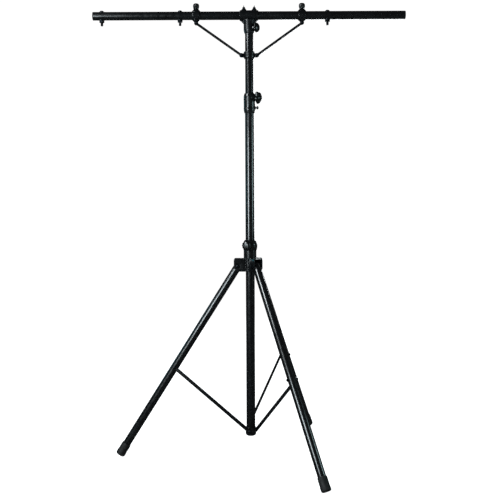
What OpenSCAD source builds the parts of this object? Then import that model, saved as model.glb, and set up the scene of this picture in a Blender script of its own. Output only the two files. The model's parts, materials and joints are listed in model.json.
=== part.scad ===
// Telescopic tripod lighting stand with a braced T-bar.
// Millimetres, +Z up, the floor at Z = 0, the mast on the Z axis, the T-bar along X.

/* [Mast] */
// Outside diameter of the outer mast tube
mast_d = 35; // [30:0.5:45]
// Wall of the outer mast tube
mast_wall = 1.2; // [0.8:0.1:3]
// Height of the outer mast tube's lower end
mast_bottom_z = 90; // [60:1:150]
// Height of the outer mast tube's upper end
mast_top_z = 1396; // [900:1:1600]
// Outside diameter of the inner mast tube
inner_d = 31.8; // [25:0.1:40]
// Wall of the inner mast tube
inner_wall = 1.5; // [0.8:0.1:3]
// Height of the inner mast tube's lower end when lowered
inner_bottom_z = 130; // [110:1:300]
// Distance between the locking holes of the inner mast tube
lock_pitch = 150; // [50:10:300]
// Number of locking holes in the inner mast tube
lock_holes = 7; // [1:1:9]
// Outside diameter of the collar on the outer mast tube
collar_d = 44.6; // [40:0.2:60]
// Height of the collar's lower edge
collar_bottom_z = 1346; // [800:1:1550]
// Height of the collar's upper edge
collar_top_z = 1422; // [900:1:1650]
// Height of the mast knob's axis
mast_knob_z = 1405; // [900:1:1640]
// Direction of the mast knob and locking plunger
mast_knob_az = -20; // [-180:5:180]
// Height of the locking plunger's axis
plunger_z = 1366; // [850:1:1600]

/* [T-bar] */
// Length of the T-bar over its end caps
bar_length = 1200; // [600:10:1800]
// Diameter of the T-bar tube
bar_d = 32; // [25:0.5:50]
// Wall of the T-bar tube
bar_wall = 1.5; // [1:0.1:3]
// Height of the T-bar's axis
bar_z = 1718; // [1200:1:2200]
// Length of the T-adapter's cross sleeve
tee_length = 72; // [50:1:150]
// Wall of the T-adapter's sleeves
tee_wall = 3.9; // [2:0.1:8]
// Height of the lower edge of the T-adapter's upright sleeve
tee_bottom_z = 1650; // [1100:1:2100]
// Distance of each arm wing bolt from the mast axis
wing_x = 20; // [12:1:40]
// Direction of the T-adapter's knob
tee_knob_az = -30; // [-180:5:180]
// Height of the T-adapter knob's axis
tee_knob_z = 1670; // [1100:1:2100]
// Distance of the end fixture bolt from the mast axis
fixture_end_x = 566; // [300:1:800]
// Distance of the left inner fixture bolt from the mast axis
fixture_left_x = 264; // [230:1:500]
// Distance of the right inner fixture bolt from the mast axis
fixture_right_x = 301; // [230:1:500]
// Length of each fixture bolt below the T-bar
fixture_drop = 22; // [15:1:60]

/* [Braces] */
// Distance of each brace clamp from the mast axis
clamp_x = 203; // [120:1:400]
// Length of each brace clamp along the T-bar
clamp_length = 26; // [16:1:60]
// Distance of the brace pivot below the T-bar's axis
clamp_drop = 29; // [24:0.5:50]
// Height of the pivots on the brace collar
brace_collar_z = 1567; // [1000:1:2000]
// Distance of the brace collar's pivots from the mast axis
brace_collar_x = 30; // [26:1:60]
// Width of the flat braces
brace_width = 9.5; // [6:0.5:25]
// Thickness of the flat braces
brace_thick = 4; // [2:0.5:10]

/* [Hub] */
// Distance of the leg pivots from the mast axis
hub_pivot_r = 48; // [40:0.5:80]
// Height of the leg pivots
hub_pivot_z = 753; // [400:1:1000]
// Outside diameter of the hub sleeve
hub_d = 49.2; // [44:0.2:70]
// Height of the hub sleeve below the leg pivots
hub_below = 20; // [12:1:60]
// Height of the leg brackets above the leg pivots
bracket_above = 31; // [20:1:60]
// Reach of the leg brackets from the mast axis
bracket_reach = 64; // [50:1:100]
// Thickness of the leg brackets' plate
bracket_plate = 2.5; // [1.5:0.5:5]
// Height of the hub sleeve's top above the leg pivots
hub_above = 62; // [40:1:120]
// Height of the rounded collar on top of the hub
hub_cap_h = 41; // [20:1:80]
// Outside diameter of the rounded collar on top of the hub
hub_cap_d = 56.4; // [50:0.2:80]
// Direction of the hub knob
hub_knob_az = -112; // [-180:1:180]
// Play of the hub on the mast tube, all on the side facing away from the front leg
hub_play = 6.8; // [1:0.1:12]

/* [Legs and struts] */
// Directions of the left, front and rear legs
leg_az = [180, -60, 60];
// Outside diameter of a leg tube
leg_d = 31; // [20:0.5:45]
// Wall of a leg tube
leg_wall = 1.5; // [1:0.1:3]
// Lean of an open leg from the upright
leg_tilt = 32.3; // [20:0.1:50]
// Distance from a leg's pivot to its strut bolt
leg_joint = 467; // [250:1:700]
// Length of leg tube above its pivot
leg_top = 12; // [8:0.5:20]
// Distance of a strut's plane from its leg's centre plane
strut_side = 21; // [19:0.5:40]
// Width of a flat strut
strut_width = 14; // [8:0.5:30]
// Thickness of a flat strut
strut_thick = 4; // [2:0.5:8]
// Distance of the lower strut pivots from the mast axis, along the leg's direction
base_pivot_r = 5; // [0:0.5:40]
// Height of the lower strut pivots
base_pivot_z = 101.5; // [90:0.5:200]
// Diameter of a rubber foot
foot_d = 37; // [32:0.5:60]
// Length of a rubber foot
foot_length = 52; // [20:1:100]

/* [Knobs and fasteners] */
// Radius of the round hub and T-adapter knobs
knob_r = 18.5; // [12:0.5:30]
// Height of the round knobs
knob_h = 15; // [8:0.5:30]
// Radius of the five-lobed mast knob
lobe_knob_r = 24.5; // [15:0.5:40]
// Height of the five-lobed mast knob
lobe_knob_h = 22; // [12:0.5:40]
// Radius of the small clamp knobs
small_knob_r = 12; // [8:0.5:20]
// Radius of the M6 bolts in struts and braces
bolt6_r = 3; // [2:0.5:5]
// Radius of the M8 bolts and clamp screws
bolt8_r = 4; // [3:0.5:6]
// Radius of the M10 fixture bolts
bolt10_r = 5; // [4:0.5:8]

/* [Hidden] */
$fn = 96;

paint = [0.05, 0.055, 0.06];
plastic = [0.08, 0.08, 0.085];
rubber = [0.03, 0.03, 0.03];
steel = [0.16, 0.16, 0.17];

gap = 0.3;
fit = 0.05;
cut = 1;
left = 0;
front = 1;
rear = 2;

mast_r = mast_d/2;
mast_bore_r = mast_r - mast_wall;
inner_r = inner_d/2;
bar_r = bar_d/2;
tee_r = bar_r + gap + tee_wall;
collar_r = collar_d/2;
hub_r = hub_d/2;
leg_r = leg_d/2;
foot_r = foot_d/2;

// The open triangle of leg, strut and mast gives the strut's length and lean.
joint_r = hub_pivot_r + leg_joint*sin(leg_tilt);
joint_z = hub_pivot_z - leg_joint*cos(leg_tilt);
strut_length = norm([joint_r - base_pivot_r, joint_z - base_pivot_z]);
strut_tilt = atan2(joint_r - base_pivot_r, joint_z - base_pivot_z);
foot_bevel = 3;
leg_length = (hub_pivot_z - (foot_r - foot_bevel)*sin(leg_tilt))/cos(leg_tilt);

// While the legs fold, the hub drifts a little towards the front leg, and the tops of the
// other two legs drift out of their brackets and sideways, each as a share of that play.
side_share = 0.866;
out_share = 1.5;
leg_drift = out_share*(hub_play - gap);
leg_drift_lean = 17;
leg_slot_r = 5.2;
bracket_in = leg_r + 0.4;
bracket_out = bracket_in + side_share*(hub_play - gap);

nut_h = 5;
head_h = 4;
bolt6_head_r = 6;
bolt8_head_r = 7.5;
screw_tip_r = inner_r + gap;
knob_base_r = 27;
fixture_washer_h = 2;
fixture_nut_h = 7;
fixture_nut_low = bar_r + fixture_washer_h + fixture_nut_h;
plunger_stroke = 5;
plunger_boss_r = 24;

brace_fall = bar_z - clamp_drop - brace_collar_z;
brace_run = clamp_x - brace_collar_x;
brace_length = norm([brace_run, brace_fall]);
brace_lean = atan2(brace_fall, brace_run);
ear_thick = 4;
brace_y = -(ear_thick/2 + gap + brace_thick/2);

// ---------------------------------------------------------------- shared shapes

module ring(r_out, r_in, h) {
    difference() {
        cylinder(r = r_out, h = h);
        translate([0, 0, -cut])
            cylinder(r = r_in, h = h + 2*cut);
    }
}

module tube(r, wall, length) {
    ring(r, r - wall, length);
}

// Points +Z along +Y, the direction of every leg, strut and brace bolt.
module along_y() {
    rotate([-90, 0, 0])
        children();
}

// Places a piece whose +Z points away from the mast, at a height and direction.
module on_mast(az, z) {
    rotate([0, 0, az])
        translate([0, 0, z])
            rotate([0, 90, 0])
                children();
}

module leg_frame(i) {
    rotate([0, 0, leg_az[i]])
        translate([hub_pivot_r, 0, hub_pivot_z])
            rotate([0, 180 - leg_tilt, 0])
                children();
}

module hex_nut(r_bolt, h) {
    difference() {
        cylinder(r = r_bolt*1.9, h = h, $fn = 6);
        translate([0, 0, -cut])
            cylinder(r = r_bolt + fit, h = h + 2*cut);
    }
}

module button_head(r, h) {
    cylinder(r = r, h = h*0.5);
    translate([0, 0, h*0.5])
        cylinder(r1 = r, r2 = r*0.6, h = h*0.5);
}

// Round grip with shallow finger flutes and a rounded face.
module round_knob(r, h) {
    flutes = 12;
    flute_r = r*0.14;
    difference() {
        rotate_extrude()
            polygon([[0, 0], [r*0.8, 0], [r, h*0.2], [r, h*0.7], [r*0.93, h*0.88],
                [r*0.72, h], [0, h]]);
        for (k = [0 : flutes - 1])
            rotate([0, 0, k*360/flutes])
                translate([r + flute_r*0.45, 0, -cut])
                    cylinder(r = flute_r, h = h + 2*cut, $fn = 32);
    }
}

// Five-lobed grip, widest near its base and domed on its face.
module lobe_knob(r, h) {
    lobes = 5;
    lobe_r = r*0.36;
    intersection() {
        union() {
            cylinder(r = r*0.7, h = h);
            for (k = [0 : lobes - 1])
                rotate([0, 0, k*360/lobes])
                    translate([r - lobe_r, 0, 0])
                        cylinder(r = lobe_r, h = h, $fn = 48);
        }
        rotate_extrude()
            polygon([[0, 0], [r*0.72, 0], [r, h*0.18], [r, h*0.42], [r*0.86, h*0.68],
                [r*0.6, h*0.88], [r*0.36, h], [0, h]]);
    }
}

module clamp_screw(from_r, to_r) {
    translate([0, 0, from_r])
        cylinder(r = bolt8_r, h = to_r - from_r);
}

// ---------------------------------------------------------------- outer mast

module outer_mast_tube() {
    color(paint)
    difference() {
        translate([0, 0, mast_bottom_z])
            tube(mast_r, mast_wall, mast_top_z - mast_bottom_z);
        on_mast(mast_knob_az, plunger_z)
            cylinder(r = bolt6_r + fit, h = mast_d);
        base_bolt_holes();
    }
}

module base_bolt_holes() {
    for (i = [left, front, rear])
        rotate([0, 0, leg_az[i]])
            translate([base_pivot_r, 0, base_pivot_z])
                along_y()
                    cylinder(r = bolt6_r + fit, h = mast_d);
}

// Cup on the lower end of the mast, with a flat for each strut.
module base_bracket() {
    cup_r = 21;
    cup_top = 28;
    floor_drop = 8;
    flat_y = strut_side - strut_thick/2 - gap;
    color(paint)
    difference() {
        translate([0, 0, mast_bottom_z])
            rotate_extrude()
                polygon([[0, -floor_drop], [cup_r*0.5, -floor_drop],
                    [cup_r*0.8, -floor_drop*0.8], [cup_r*0.95, -floor_drop*0.45], [cup_r, 0],
                    [cup_r, cup_top - 2], [cup_r - 2, cup_top], [0, cup_top]]);
        translate([0, 0, mast_bottom_z])
            cylinder(r = mast_r + fit, h = cup_top + cut);
        for (i = [left, front, rear])
            rotate([0, 0, leg_az[i]])
                translate([-cup_r*2, flat_y, base_pivot_z - cup_r*0.55])
                    cube([cup_r*4, cup_r, cup_r*3]);
        base_bolt_holes();
    }
}

module base_bolts() {
    shank_from = 12;
    head_y = strut_side + strut_thick/2 + gap;
    color(steel)
    for (i = [left, front, rear])
        rotate([0, 0, leg_az[i]])
            translate([base_pivot_r, 0, base_pivot_z])
                along_y() {
                    translate([0, 0, shank_from])
                        cylinder(r = bolt6_r, h = head_y - shank_from);
                    translate([0, 0, head_y])
                        button_head(bolt6_head_r, head_h);
                }
}

module mast_collar() {
    lip = 4;
    boss_reach = knob_base_r - 1.5;
    height = collar_top_z - collar_bottom_z;
    color(plastic)
    difference() {
        union() {
            translate([0, 0, collar_bottom_z])
                rotate_extrude()
                    polygon([[0, 0], [mast_r + 2, 0], [collar_r - 0.6, lip*2.2],
                        [collar_r, lip*2.6], [collar_r, height - lip*1.5],
                        [collar_r - 1.2, height - lip*0.5], [inner_r + 2.4, height],
                        [0, height]]);
            on_mast(mast_knob_az, mast_knob_z)
                cylinder(r = 9, h = boss_reach);
            on_mast(mast_knob_az, plunger_z)
                cylinder(r = 6.5, h = plunger_boss_r);
        }
        translate([0, 0, collar_bottom_z - cut])
            cylinder(r = mast_r + fit, h = mast_top_z - collar_bottom_z + cut);
        translate([0, 0, collar_bottom_z])
            cylinder(r = inner_r + 0.08, h = height + cut);
        on_mast(mast_knob_az, mast_knob_z)
            cylinder(r = bolt8_r + fit, h = collar_d);
        on_mast(mast_knob_az, plunger_z)
            cylinder(r = bolt6_r + fit, h = collar_d);
    }
}

module mast_knob() {
    color(plastic)
    on_mast(mast_knob_az, mast_knob_z)
        translate([0, 0, knob_base_r])
            difference() {
                lobe_knob(lobe_knob_r, lobe_knob_h);
                translate([0, 0, -cut])
                    cylinder(r = bolt8_r, h = lobe_knob_h*0.6 + cut);
            }
}

module mast_knob_screw() {
    color(steel)
    on_mast(mast_knob_az, mast_knob_z)
        clamp_screw(screw_tip_r, knob_base_r + lobe_knob_h*0.6);
}

module plunger_pin() {
    color(steel)
    on_mast(mast_knob_az, plunger_z)
        translate([0, 0, screw_tip_r])
            cylinder(r = bolt6_r, h = plunger_boss_r + 2*plunger_stroke - screw_tip_r);
}

module plunger_knob() {
    r = 6.5;
    h = 7;
    color(plastic)
    on_mast(mast_knob_az, plunger_z)
        translate([0, 0, plunger_boss_r + gap + plunger_stroke])
            difference() {
                rotate_extrude()
                    polygon([[0, 0], [r*0.7, 0], [r, h*0.3], [r, h*0.7], [r*0.6, h], [0, h]]);
                translate([0, 0, -cut])
                    cylinder(r = bolt6_r, h = plunger_stroke - gap + cut);
            }
}

// ---------------------------------------------------------------- inner mast

module inner_mast_tube() {
    hole_r = bolt6_r + gap;
    top_z = bar_z - tee_r - cut;
    color(paint)
    difference() {
        translate([0, 0, inner_bottom_z])
            tube(inner_r, inner_wall, top_z - inner_bottom_z);
        for (k = [0 : lock_holes - 1])
            on_mast(mast_knob_az, plunger_z - k*lock_pitch)
                cylinder(r = hole_r, h = mast_d);
    }
}

// Plastic plug that keeps the inner tube's lower end centred in the outer tube.
module inner_guide() {
    flange_h = 12;
    spigot_h = 20;
    color(plastic)
    translate([0, 0, inner_bottom_z - flange_h])
        difference() {
            union() {
                cylinder(r = mast_bore_r - fit, h = flange_h);
                cylinder(r = inner_r - inner_wall - fit, h = flange_h + spigot_h);
            }
            translate([0, 0, -cut])
                cylinder(r = inner_r*0.6, h = flange_h + spigot_h + 2*cut);
        }
}

// ---------------------------------------------------------------- T-adapter and arms

module t_adapter() {
    upright_top = bar_z - tee_r*0.8;
    neck_h = 11;
    upright_r = inner_r + gap + tee_wall + 0.9;
    gusset_drop = 15;
    gusset_thick = 8;
    boss_h = 5;
    color(paint)
    difference() {
        union() {
            translate([-tee_length/2, 0, bar_z])
                rotate([0, 90, 0])
                    cylinder(r = tee_r, h = tee_length);
            translate([0, 0, tee_bottom_z])
                cylinder(r1 = upright_r - 3, r2 = upright_r, h = neck_h);
            translate([0, 0, tee_bottom_z + neck_h])
                cylinder(r = upright_r, h = upright_top - tee_bottom_z - neck_h);
            translate([0, gusset_thick/2, bar_z - tee_r + 2])
                rotate([90, 0, 0])
                    linear_extrude(gusset_thick)
                        polygon([[-tee_length/2 + 1, 0], [tee_length/2 - 1, 0],
                            [upright_r - 1, -gusset_drop], [1 - upright_r, -gusset_drop]]);
            on_mast(tee_knob_az, tee_knob_z)
                cylinder(r = 8.5, h = knob_base_r - 2);
            for (side = [-1, 1])
                translate([side*wing_x, 0, bar_z + bar_r])
                    cylinder(r1 = 13, r2 = 7, h = tee_r - bar_r + boss_h);
        }
        translate([-tee_length/2 - cut, 0, bar_z])
            rotate([0, 90, 0])
                cylinder(r = bar_r + gap, h = tee_length + 2*cut);
        translate([0, 0, tee_bottom_z - cut])
            cylinder(r = inner_r + gap, h = bar_z - tee_r - tee_bottom_z + cut + gap);
        on_mast(tee_knob_az, tee_knob_z)
            cylinder(r = bolt8_r + fit, h = mast_d);
        for (side = [-1, 1])
            translate([side*wing_x, 0, bar_z])
                cylinder(r = bolt8_r + fit, h = tee_r*2);
    }
}

module adapter_knob() {
    color(plastic)
    on_mast(tee_knob_az, tee_knob_z)
        translate([0, 0, knob_base_r])
            difference() {
                round_knob(knob_r, knob_h);
                translate([0, 0, -cut])
                    cylinder(r = bolt8_r, h = knob_h*0.6 + cut);
            }
}

module adapter_knob_screw() {
    color(steel)
    on_mast(tee_knob_az, tee_knob_z)
        clamp_screw(screw_tip_r, knob_base_r + knob_h*0.6);
}

module wing_bolt(side) {
    hub_z = tee_r + 5 + 0.5;
    wing_span = 13;
    wing_h = 11;
    wing_thick = 3;
    color(steel)
    translate([side*wing_x, 0, bar_z]) {
        translate([0, 0, bar_r + gap])
            cylinder(r = bolt8_r, h = hub_z - bar_r - gap);
        translate([0, 0, hub_z])
            cylinder(r = 6, h = wing_h*0.5);
        translate([wing_thick/2, 0, hub_z])
            rotate([90, 0, -90])
                linear_extrude(wing_thick)
                    polygon([[-4, 0], [4, 0], [wing_span - 2, wing_h*0.45],
                        [wing_span, wing_h*0.85], [wing_span - 3, wing_h],
                        [wing_span - 7, wing_h*0.8], [4.5, wing_h*0.5],
                        [-4.5, wing_h*0.5], [7 - wing_span, wing_h*0.8],
                        [3 - wing_span, wing_h], [-wing_span, wing_h*0.85],
                        [2 - wing_span, wing_h*0.45]]);
    }
}

// An arm is half of the T-bar; xs lists its fixture bolt holes.
module arm(side, xs) {
    inner_end = 1;
    cap_flange = 3;
    length = bar_length/2 - cap_flange - inner_end;
    color(paint)
    difference() {
        translate([side*inner_end, 0, bar_z])
            rotate([0, side*90, 0])
                tube(bar_r, bar_wall, length);
        for (x = xs)
            translate([side*x, 0, bar_z - bar_d])
                cylinder(r = bolt10_r + fit, h = bar_d*2);
    }
}

module end_cap(side) {
    flange = 3;
    spigot = 15;
    color(rubber)
    translate([side*(bar_length/2 - flange), 0, bar_z])
        rotate([0, side*90, 0])
            rotate_extrude()
                polygon([[0, -spigot], [bar_r - bar_wall - 1, -spigot],
                    [bar_r - bar_wall - fit, 1 - spigot], [bar_r - bar_wall - fit, 0],
                    [bar_r, 0], [bar_r - 0.4, flange*0.55], [bar_r - 3, flange], [0, flange]]);
}

// The head's underside is hollowed to the T-bar, and the shank narrows a little above the
// nut, so the free end is a full-size stud.
module fixture_bolt(x) {
    head_h = 4;
    head_sink = 1;
    tip_h = 1;
    neck_r = bolt10_r - 0.5;
    color(steel)
    translate([x, 0, bar_z]) {
        translate([0, 0, -bar_r - fixture_drop])
            cylinder(r1 = bolt10_r - tip_h, r2 = bolt10_r, h = tip_h);
        translate([0, 0, -bar_r - fixture_drop + tip_h])
            cylinder(r = bolt10_r, h = bar_r + fixture_drop - tip_h - fixture_nut_low);
        translate([0, 0, -fixture_nut_low])
            cylinder(r = neck_r, h = fixture_nut_low + bar_r + head_h);
        difference() {
            translate([0, 0, bar_r - head_sink])
                cylinder(r1 = 9, r2 = 5, h = head_h + head_sink);
            rotate([0, 90, 0])
                cylinder(r = bar_r + fit, h = bar_d, center = true);
        }
    }
}

module fixture_nut(x) {
    washer_r = 10;
    color(steel)
    translate([x, 0, bar_z]) {
        difference() {
            translate([0, 0, -bar_r - fixture_washer_h])
                ring(washer_r, bolt10_r + fit, fixture_washer_h + 2);
            rotate([0, 90, 0])
                cylinder(r = bar_r + fit, h = washer_r*3, center = true);
        }
        translate([0, 0, -fixture_nut_low])
            hex_nut(bolt10_r, fixture_nut_h - fit);
    }
}

module fixture_bolts_left() {
    for (x = [fixture_end_x, fixture_left_x])
        fixture_bolt(-x);
}

module fixture_nuts_left() {
    for (x = [fixture_end_x, fixture_left_x])
        fixture_nut(-x);
}

// ---------------------------------------------------------------- brace clamps and braces

module clamp(side) {
    ring_r = bar_r + gap + 3.6;
    boss_top = bar_r + 8;
    lug_r = 7.5;
    color(paint)
    translate([side*clamp_x, 0, bar_z])
        difference() {
            union() {
                translate([-clamp_length/2, 0, 0])
                    rotate([0, 90, 0])
                        cylinder(r = ring_r, h = clamp_length);
                translate([0, 0, bar_r - 2])
                    cylinder(r1 = 19, r2 = 10, h = boss_top - bar_r + 2);
                translate([0, 0, -ring_r - 3])
                    cylinder(r1 = 9, r2 = 17, h = 8);
                translate([-lug_r, -ear_thick/2, -clamp_drop])
                    cube([lug_r*2, ear_thick, clamp_drop - bar_r]);
                translate([0, -ear_thick/2, -clamp_drop])
                    along_y()
                        cylinder(r = lug_r, h = ear_thick);
            }
            rotate([0, 90, 0])
                cylinder(r = bar_r + gap, h = clamp_length*3, center = true);
            cylinder(r = bolt8_r + fit, h = bar_d*2);
            translate([0, 0, -clamp_drop])
                along_y()
                    cylinder(r = bolt6_r + fit, h = bar_d, center = true);
            translate([-bar_d, ear_thick/2, -clamp_drop - bar_r])
                cube([bar_d*2, bar_r, bar_r + clamp_drop - ring_r]);
            translate([-bar_d, -ear_thick/2 - bar_r, -clamp_drop - bar_r])
                cube([bar_d*2, bar_r, bar_r + clamp_drop - ring_r]);
        }
}

module clamp_knob(side) {
    base_z = bar_r + 9;
    neck_h = 4;
    grip_h = 18;
    color(plastic)
    translate([side*clamp_x, 0, bar_z]) {
        translate([0, 0, base_z])
            cylinder(r = small_knob_r*0.86, h = neck_h);
        translate([0, 0, base_z + neck_h])
            round_knob(small_knob_r, grip_h);
        translate([0, 0, bar_r + gap])
            cylinder(r = bolt8_r, h = base_z - bar_r - gap);
    }
}

// One M6 bolt and nut through an ear and the brace in front of it.
module brace_bolt() {
    head_y = brace_y - brace_thick/2 - gap;
    washer_r = 8;
    along_y() {
        translate([0, 0, head_y])
            cylinder(r = bolt6_r, h = ear_thick/2 - head_y + nut_h + 1);
        translate([0, 0, head_y - 1])
            cylinder(r = washer_r, h = 1);
        translate([0, 0, head_y - 1])
            rotate([180, 0, 0])
                button_head(bolt6_head_r, head_h);
        translate([0, 0, ear_thick/2])
            hex_nut(bolt6_r, nut_h);
    }
}

module clamp_bolt(side) {
    color(steel)
    translate([side*clamp_x, 0, bar_z - clamp_drop])
        brace_bolt();
}

module brace(side) {
    clamp_end_r = 6.5;
    collar_end_r = 8.5;
    collar_hole_r = 5.3;
    lean = side > 0 ? 180 - brace_lean : brace_lean;
    color(paint)
    translate([side*clamp_x, brace_y - brace_thick/2, bar_z - clamp_drop])
        rotate([0, lean, 0])
            along_y()
                difference() {
                    union() {
                        cylinder(r = clamp_end_r, h = brace_thick);
                        translate([brace_length, 0, 0])
                            cylinder(r = collar_end_r, h = brace_thick);
                        translate([0, -brace_width/2, 0])
                            cube([brace_length, brace_width, brace_thick]);
                    }
                    translate([0, 0, -cut])
                        cylinder(r = bolt6_r + fit, h = brace_thick + 2*cut);
                    translate([brace_length, 0, -cut])
                        cylinder(r = collar_hole_r, h = brace_thick + 2*cut);
                }
}

module brace_collar() {
    r = inner_r + gap + 4.8;
    h = 28;
    ear_r = 8;
    color(paint)
    difference() {
        union() {
            translate([0, 0, brace_collar_z - h/2])
                rotate_extrude()
                    polygon([[0, 0], [r - 3, 0], [r, 4], [r, h - 2], [r - 2, h], [0, h]]);
            for (side = [-1, 1])
                translate([side*brace_collar_x, -ear_thick/2, brace_collar_z])
                    along_y()
                        cylinder(r = ear_r, h = ear_thick);
            translate([-brace_collar_x, -ear_thick/2, brace_collar_z - ear_r])
                cube([brace_collar_x*2, ear_thick, ear_r*2]);
        }
        translate([0, 0, brace_collar_z - h])
            cylinder(r = inner_r + gap, h = h*2);
        for (side = [-1, 1])
            translate([side*brace_collar_x, 0, brace_collar_z])
                along_y()
                    cylinder(r = bolt6_r + fit, h = h, center = true);
        for (side = [-1, 1])
            translate([side*brace_collar_x, brace_y - brace_thick/2 - gap - 1 - head_h, 0])
                translate([0, 0, brace_collar_z])
                    along_y()
                        cylinder(r = 10.5, h = head_h + 1 + brace_thick + gap*2);
    }
}

module brace_collar_bolts() {
    color(steel)
    for (side = [-1, 1])
        translate([side*brace_collar_x, 0, brace_collar_z])
            brace_bolt();
}

// ---------------------------------------------------------------- hub

// The bore is stretched away from the front leg, see hub_play.
module hub_bore(r, z, h) {
    rotate([0, 0, leg_az[front]])
        translate([0, 0, z]) {
            cylinder(r = r, h = h);
            translate([-hub_play, 0, 0])
                cylinder(r = r, h = h);
            translate([-hub_play, -r, 0])
                cube([hub_play, r*2, h]);
        }
}

// Inner faces of a bracket's two cheeks, as [low, high] across the leg.
function cheeks(i) = i == front ? [-bracket_in, bracket_in]
    : i == rear ? [-bracket_in, bracket_out] : [-bracket_out, bracket_in];

module leg_bracket(i) {
    inner = cheeks(i);
    foot_z = hub_pivot_z - hub_below;
    height = hub_below + bracket_above;
    corner = 7;
    rotate([0, 0, leg_az[i]]) {
        for (y = [inner[0] - bracket_plate, inner[1]])
            translate([0, y + bracket_plate, foot_z])
                rotate([90, 0, 0])
                    linear_extrude(bracket_plate)
                        polygon([[8, 0], [bracket_reach - corner*2, 0],
                            [bracket_reach, corner*2], [bracket_reach, height - corner],
                            [bracket_reach - corner*0.3, height - corner*0.3],
                            [bracket_reach - corner, height], [8, height]]);
        translate([8, inner[0] - bracket_plate, foot_z + height - bracket_plate])
            cube([bracket_reach - corner - 8, inner[1] - inner[0] + 2*bracket_plate,
                bracket_plate]);
    }
}

module hub_frame() {
    foot_z = hub_pivot_z - hub_below;
    height = hub_below + hub_above;
    back_r = hub_r - 1.4;
    back_shift = 4.2;
    color(paint)
    difference() {
        union() {
            translate([0, 0, foot_z])
                cylinder(r = hub_r, h = height);
            rotate([0, 0, leg_az[front]])
                translate([-back_shift, 0, foot_z])
                    cylinder(r = back_r, h = height);
            for (i = [left, front, rear])
                leg_bracket(i);
        }
        hub_bore(mast_r + gap + fit, foot_z - cut, height + 2*cut);
        for (i = [left, front, rear])
            rotate([0, 0, leg_az[i]])
                translate([hub_pivot_r, 0, hub_pivot_z])
                    along_y()
                        cylinder(r = bolt8_r + fit, h = hub_d*2, center = true);
    }
}

module hub_collar() {
    z = hub_pivot_z + hub_above;
    r = hub_cap_d/2;
    h = hub_cap_h;
    color(plastic)
    difference() {
        union() {
            translate([0, 0, z])
                rotate_extrude()
                    polygon([[0, 0], [r - 2.6, 0], [r - 1, h*0.16], [r, h*0.4], [r - 0.2, h*0.6],
                        [r - 1.8, h*0.78], [r - 5, h*0.92], [r - 8.5, h], [0, h]]);
            on_mast(hub_knob_az, z + h/2)
                cylinder(r = 9.5, h = knob_base_r + 4);
        }
        hub_bore(mast_r + gap + fit, z - cut, h + 2*cut);
        on_mast(hub_knob_az, z + h/2)
            cylinder(r = bolt8_r + fit, h = hub_d*2);
    }
}

module hub_knob() {
    color(plastic)
    on_mast(hub_knob_az, hub_pivot_z + hub_above + hub_cap_h/2)
        translate([0, 0, knob_base_r + 5])
            difference() {
                round_knob(knob_r, knob_h);
                translate([0, 0, -cut])
                    cylinder(r = bolt8_r, h = knob_h*0.6 + cut);
            }
}

module hub_knob_screw() {
    color(steel)
    on_mast(hub_knob_az, hub_pivot_z + hub_above + hub_cap_h/2)
        clamp_screw(mast_r + gap, knob_base_r + 5 + knob_h*0.6);
}

module hub_pivot_bolts() {
    color(steel)
    for (i = [left, front, rear])
        rotate([0, 0, leg_az[i]])
            translate([hub_pivot_r, 0, hub_pivot_z])
                along_y() {
                    low = cheeks(i)[0] - bracket_plate;
                    high = cheeks(i)[1] + bracket_plate;
                    translate([0, 0, low - nut_h - 1])
                        cylinder(r = bolt8_r, h = high - low + nut_h + 1);
                    translate([0, 0, high])
                        button_head(bolt8_head_r, head_h);
                }
}

module hub_pivot_nuts() {
    color(steel)
    for (i = [left, front, rear])
        rotate([0, 0, leg_az[i]])
            translate([hub_pivot_r, cheeks(i)[0] - bracket_plate - nut_h, hub_pivot_z])
                along_y()
                    hex_nut(bolt8_r, nut_h);
}

// ---------------------------------------------------------------- struts and legs

module strut(i) {
    end_r = strut_width/2;
    color(paint)
    rotate([0, 0, leg_az[i]])
        translate([base_pivot_r, strut_side - strut_thick/2, base_pivot_z])
            rotate([0, strut_tilt, 0])
                difference() {
                    union() {
                        for (z = [0, strut_length])
                            translate([0, 0, z])
                                along_y()
                                    cylinder(r = end_r, h = strut_thick);
                        translate([-end_r, 0, 0])
                            cube([strut_width, strut_thick, strut_length]);
                    }
                    for (z = [0, strut_length])
                        translate([0, -cut, z])
                            along_y()
                                cylinder(r = bolt6_r + fit, h = strut_thick + 2*cut);
                }
}

// Cuts the pivot hole of the front leg, or the long one of a leg that drifts.
module leg_pivot_cut(i) {
    span = leg_d*2;
    if (i == front)
        along_y()
            cylinder(r = bolt8_r + fit, h = span, center = true);
    else
        rotate([0, leg_drift_lean, 0]) {
            for (x = [0, leg_drift])
                translate([x, 0, 0])
                    along_y()
                        cylinder(r = leg_slot_r, h = span, center = true);
            translate([0, -span/2, -leg_slot_r])
                cube([leg_drift, span, leg_slot_r*2]);
        }
}

module leg_tube(i) {
    foot_wall = 8;
    color(paint)
    leg_frame(i)
        difference() {
            translate([0, 0, -leg_top])
                tube(leg_r, leg_wall, leg_top + leg_length - foot_wall);
            leg_pivot_cut(i);
            translate([0, 0, leg_joint])
                along_y()
                    cylinder(r = bolt6_r + fit, h = leg_d*2, center = true);
        }
}

module leg_plug(i) {
    length = 34;
    rim = 1.5;
    color(plastic)
    leg_frame(i)
        difference() {
            union() {
                translate([0, 0, -leg_top])
                    cylinder(r = leg_r - leg_wall - fit, h = length);
                translate([0, 0, -leg_top - rim])
                    cylinder(r1 = leg_r - 2, r2 = leg_r - 0.3, h = rim);
            }
            leg_pivot_cut(i);
        }
}

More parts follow.
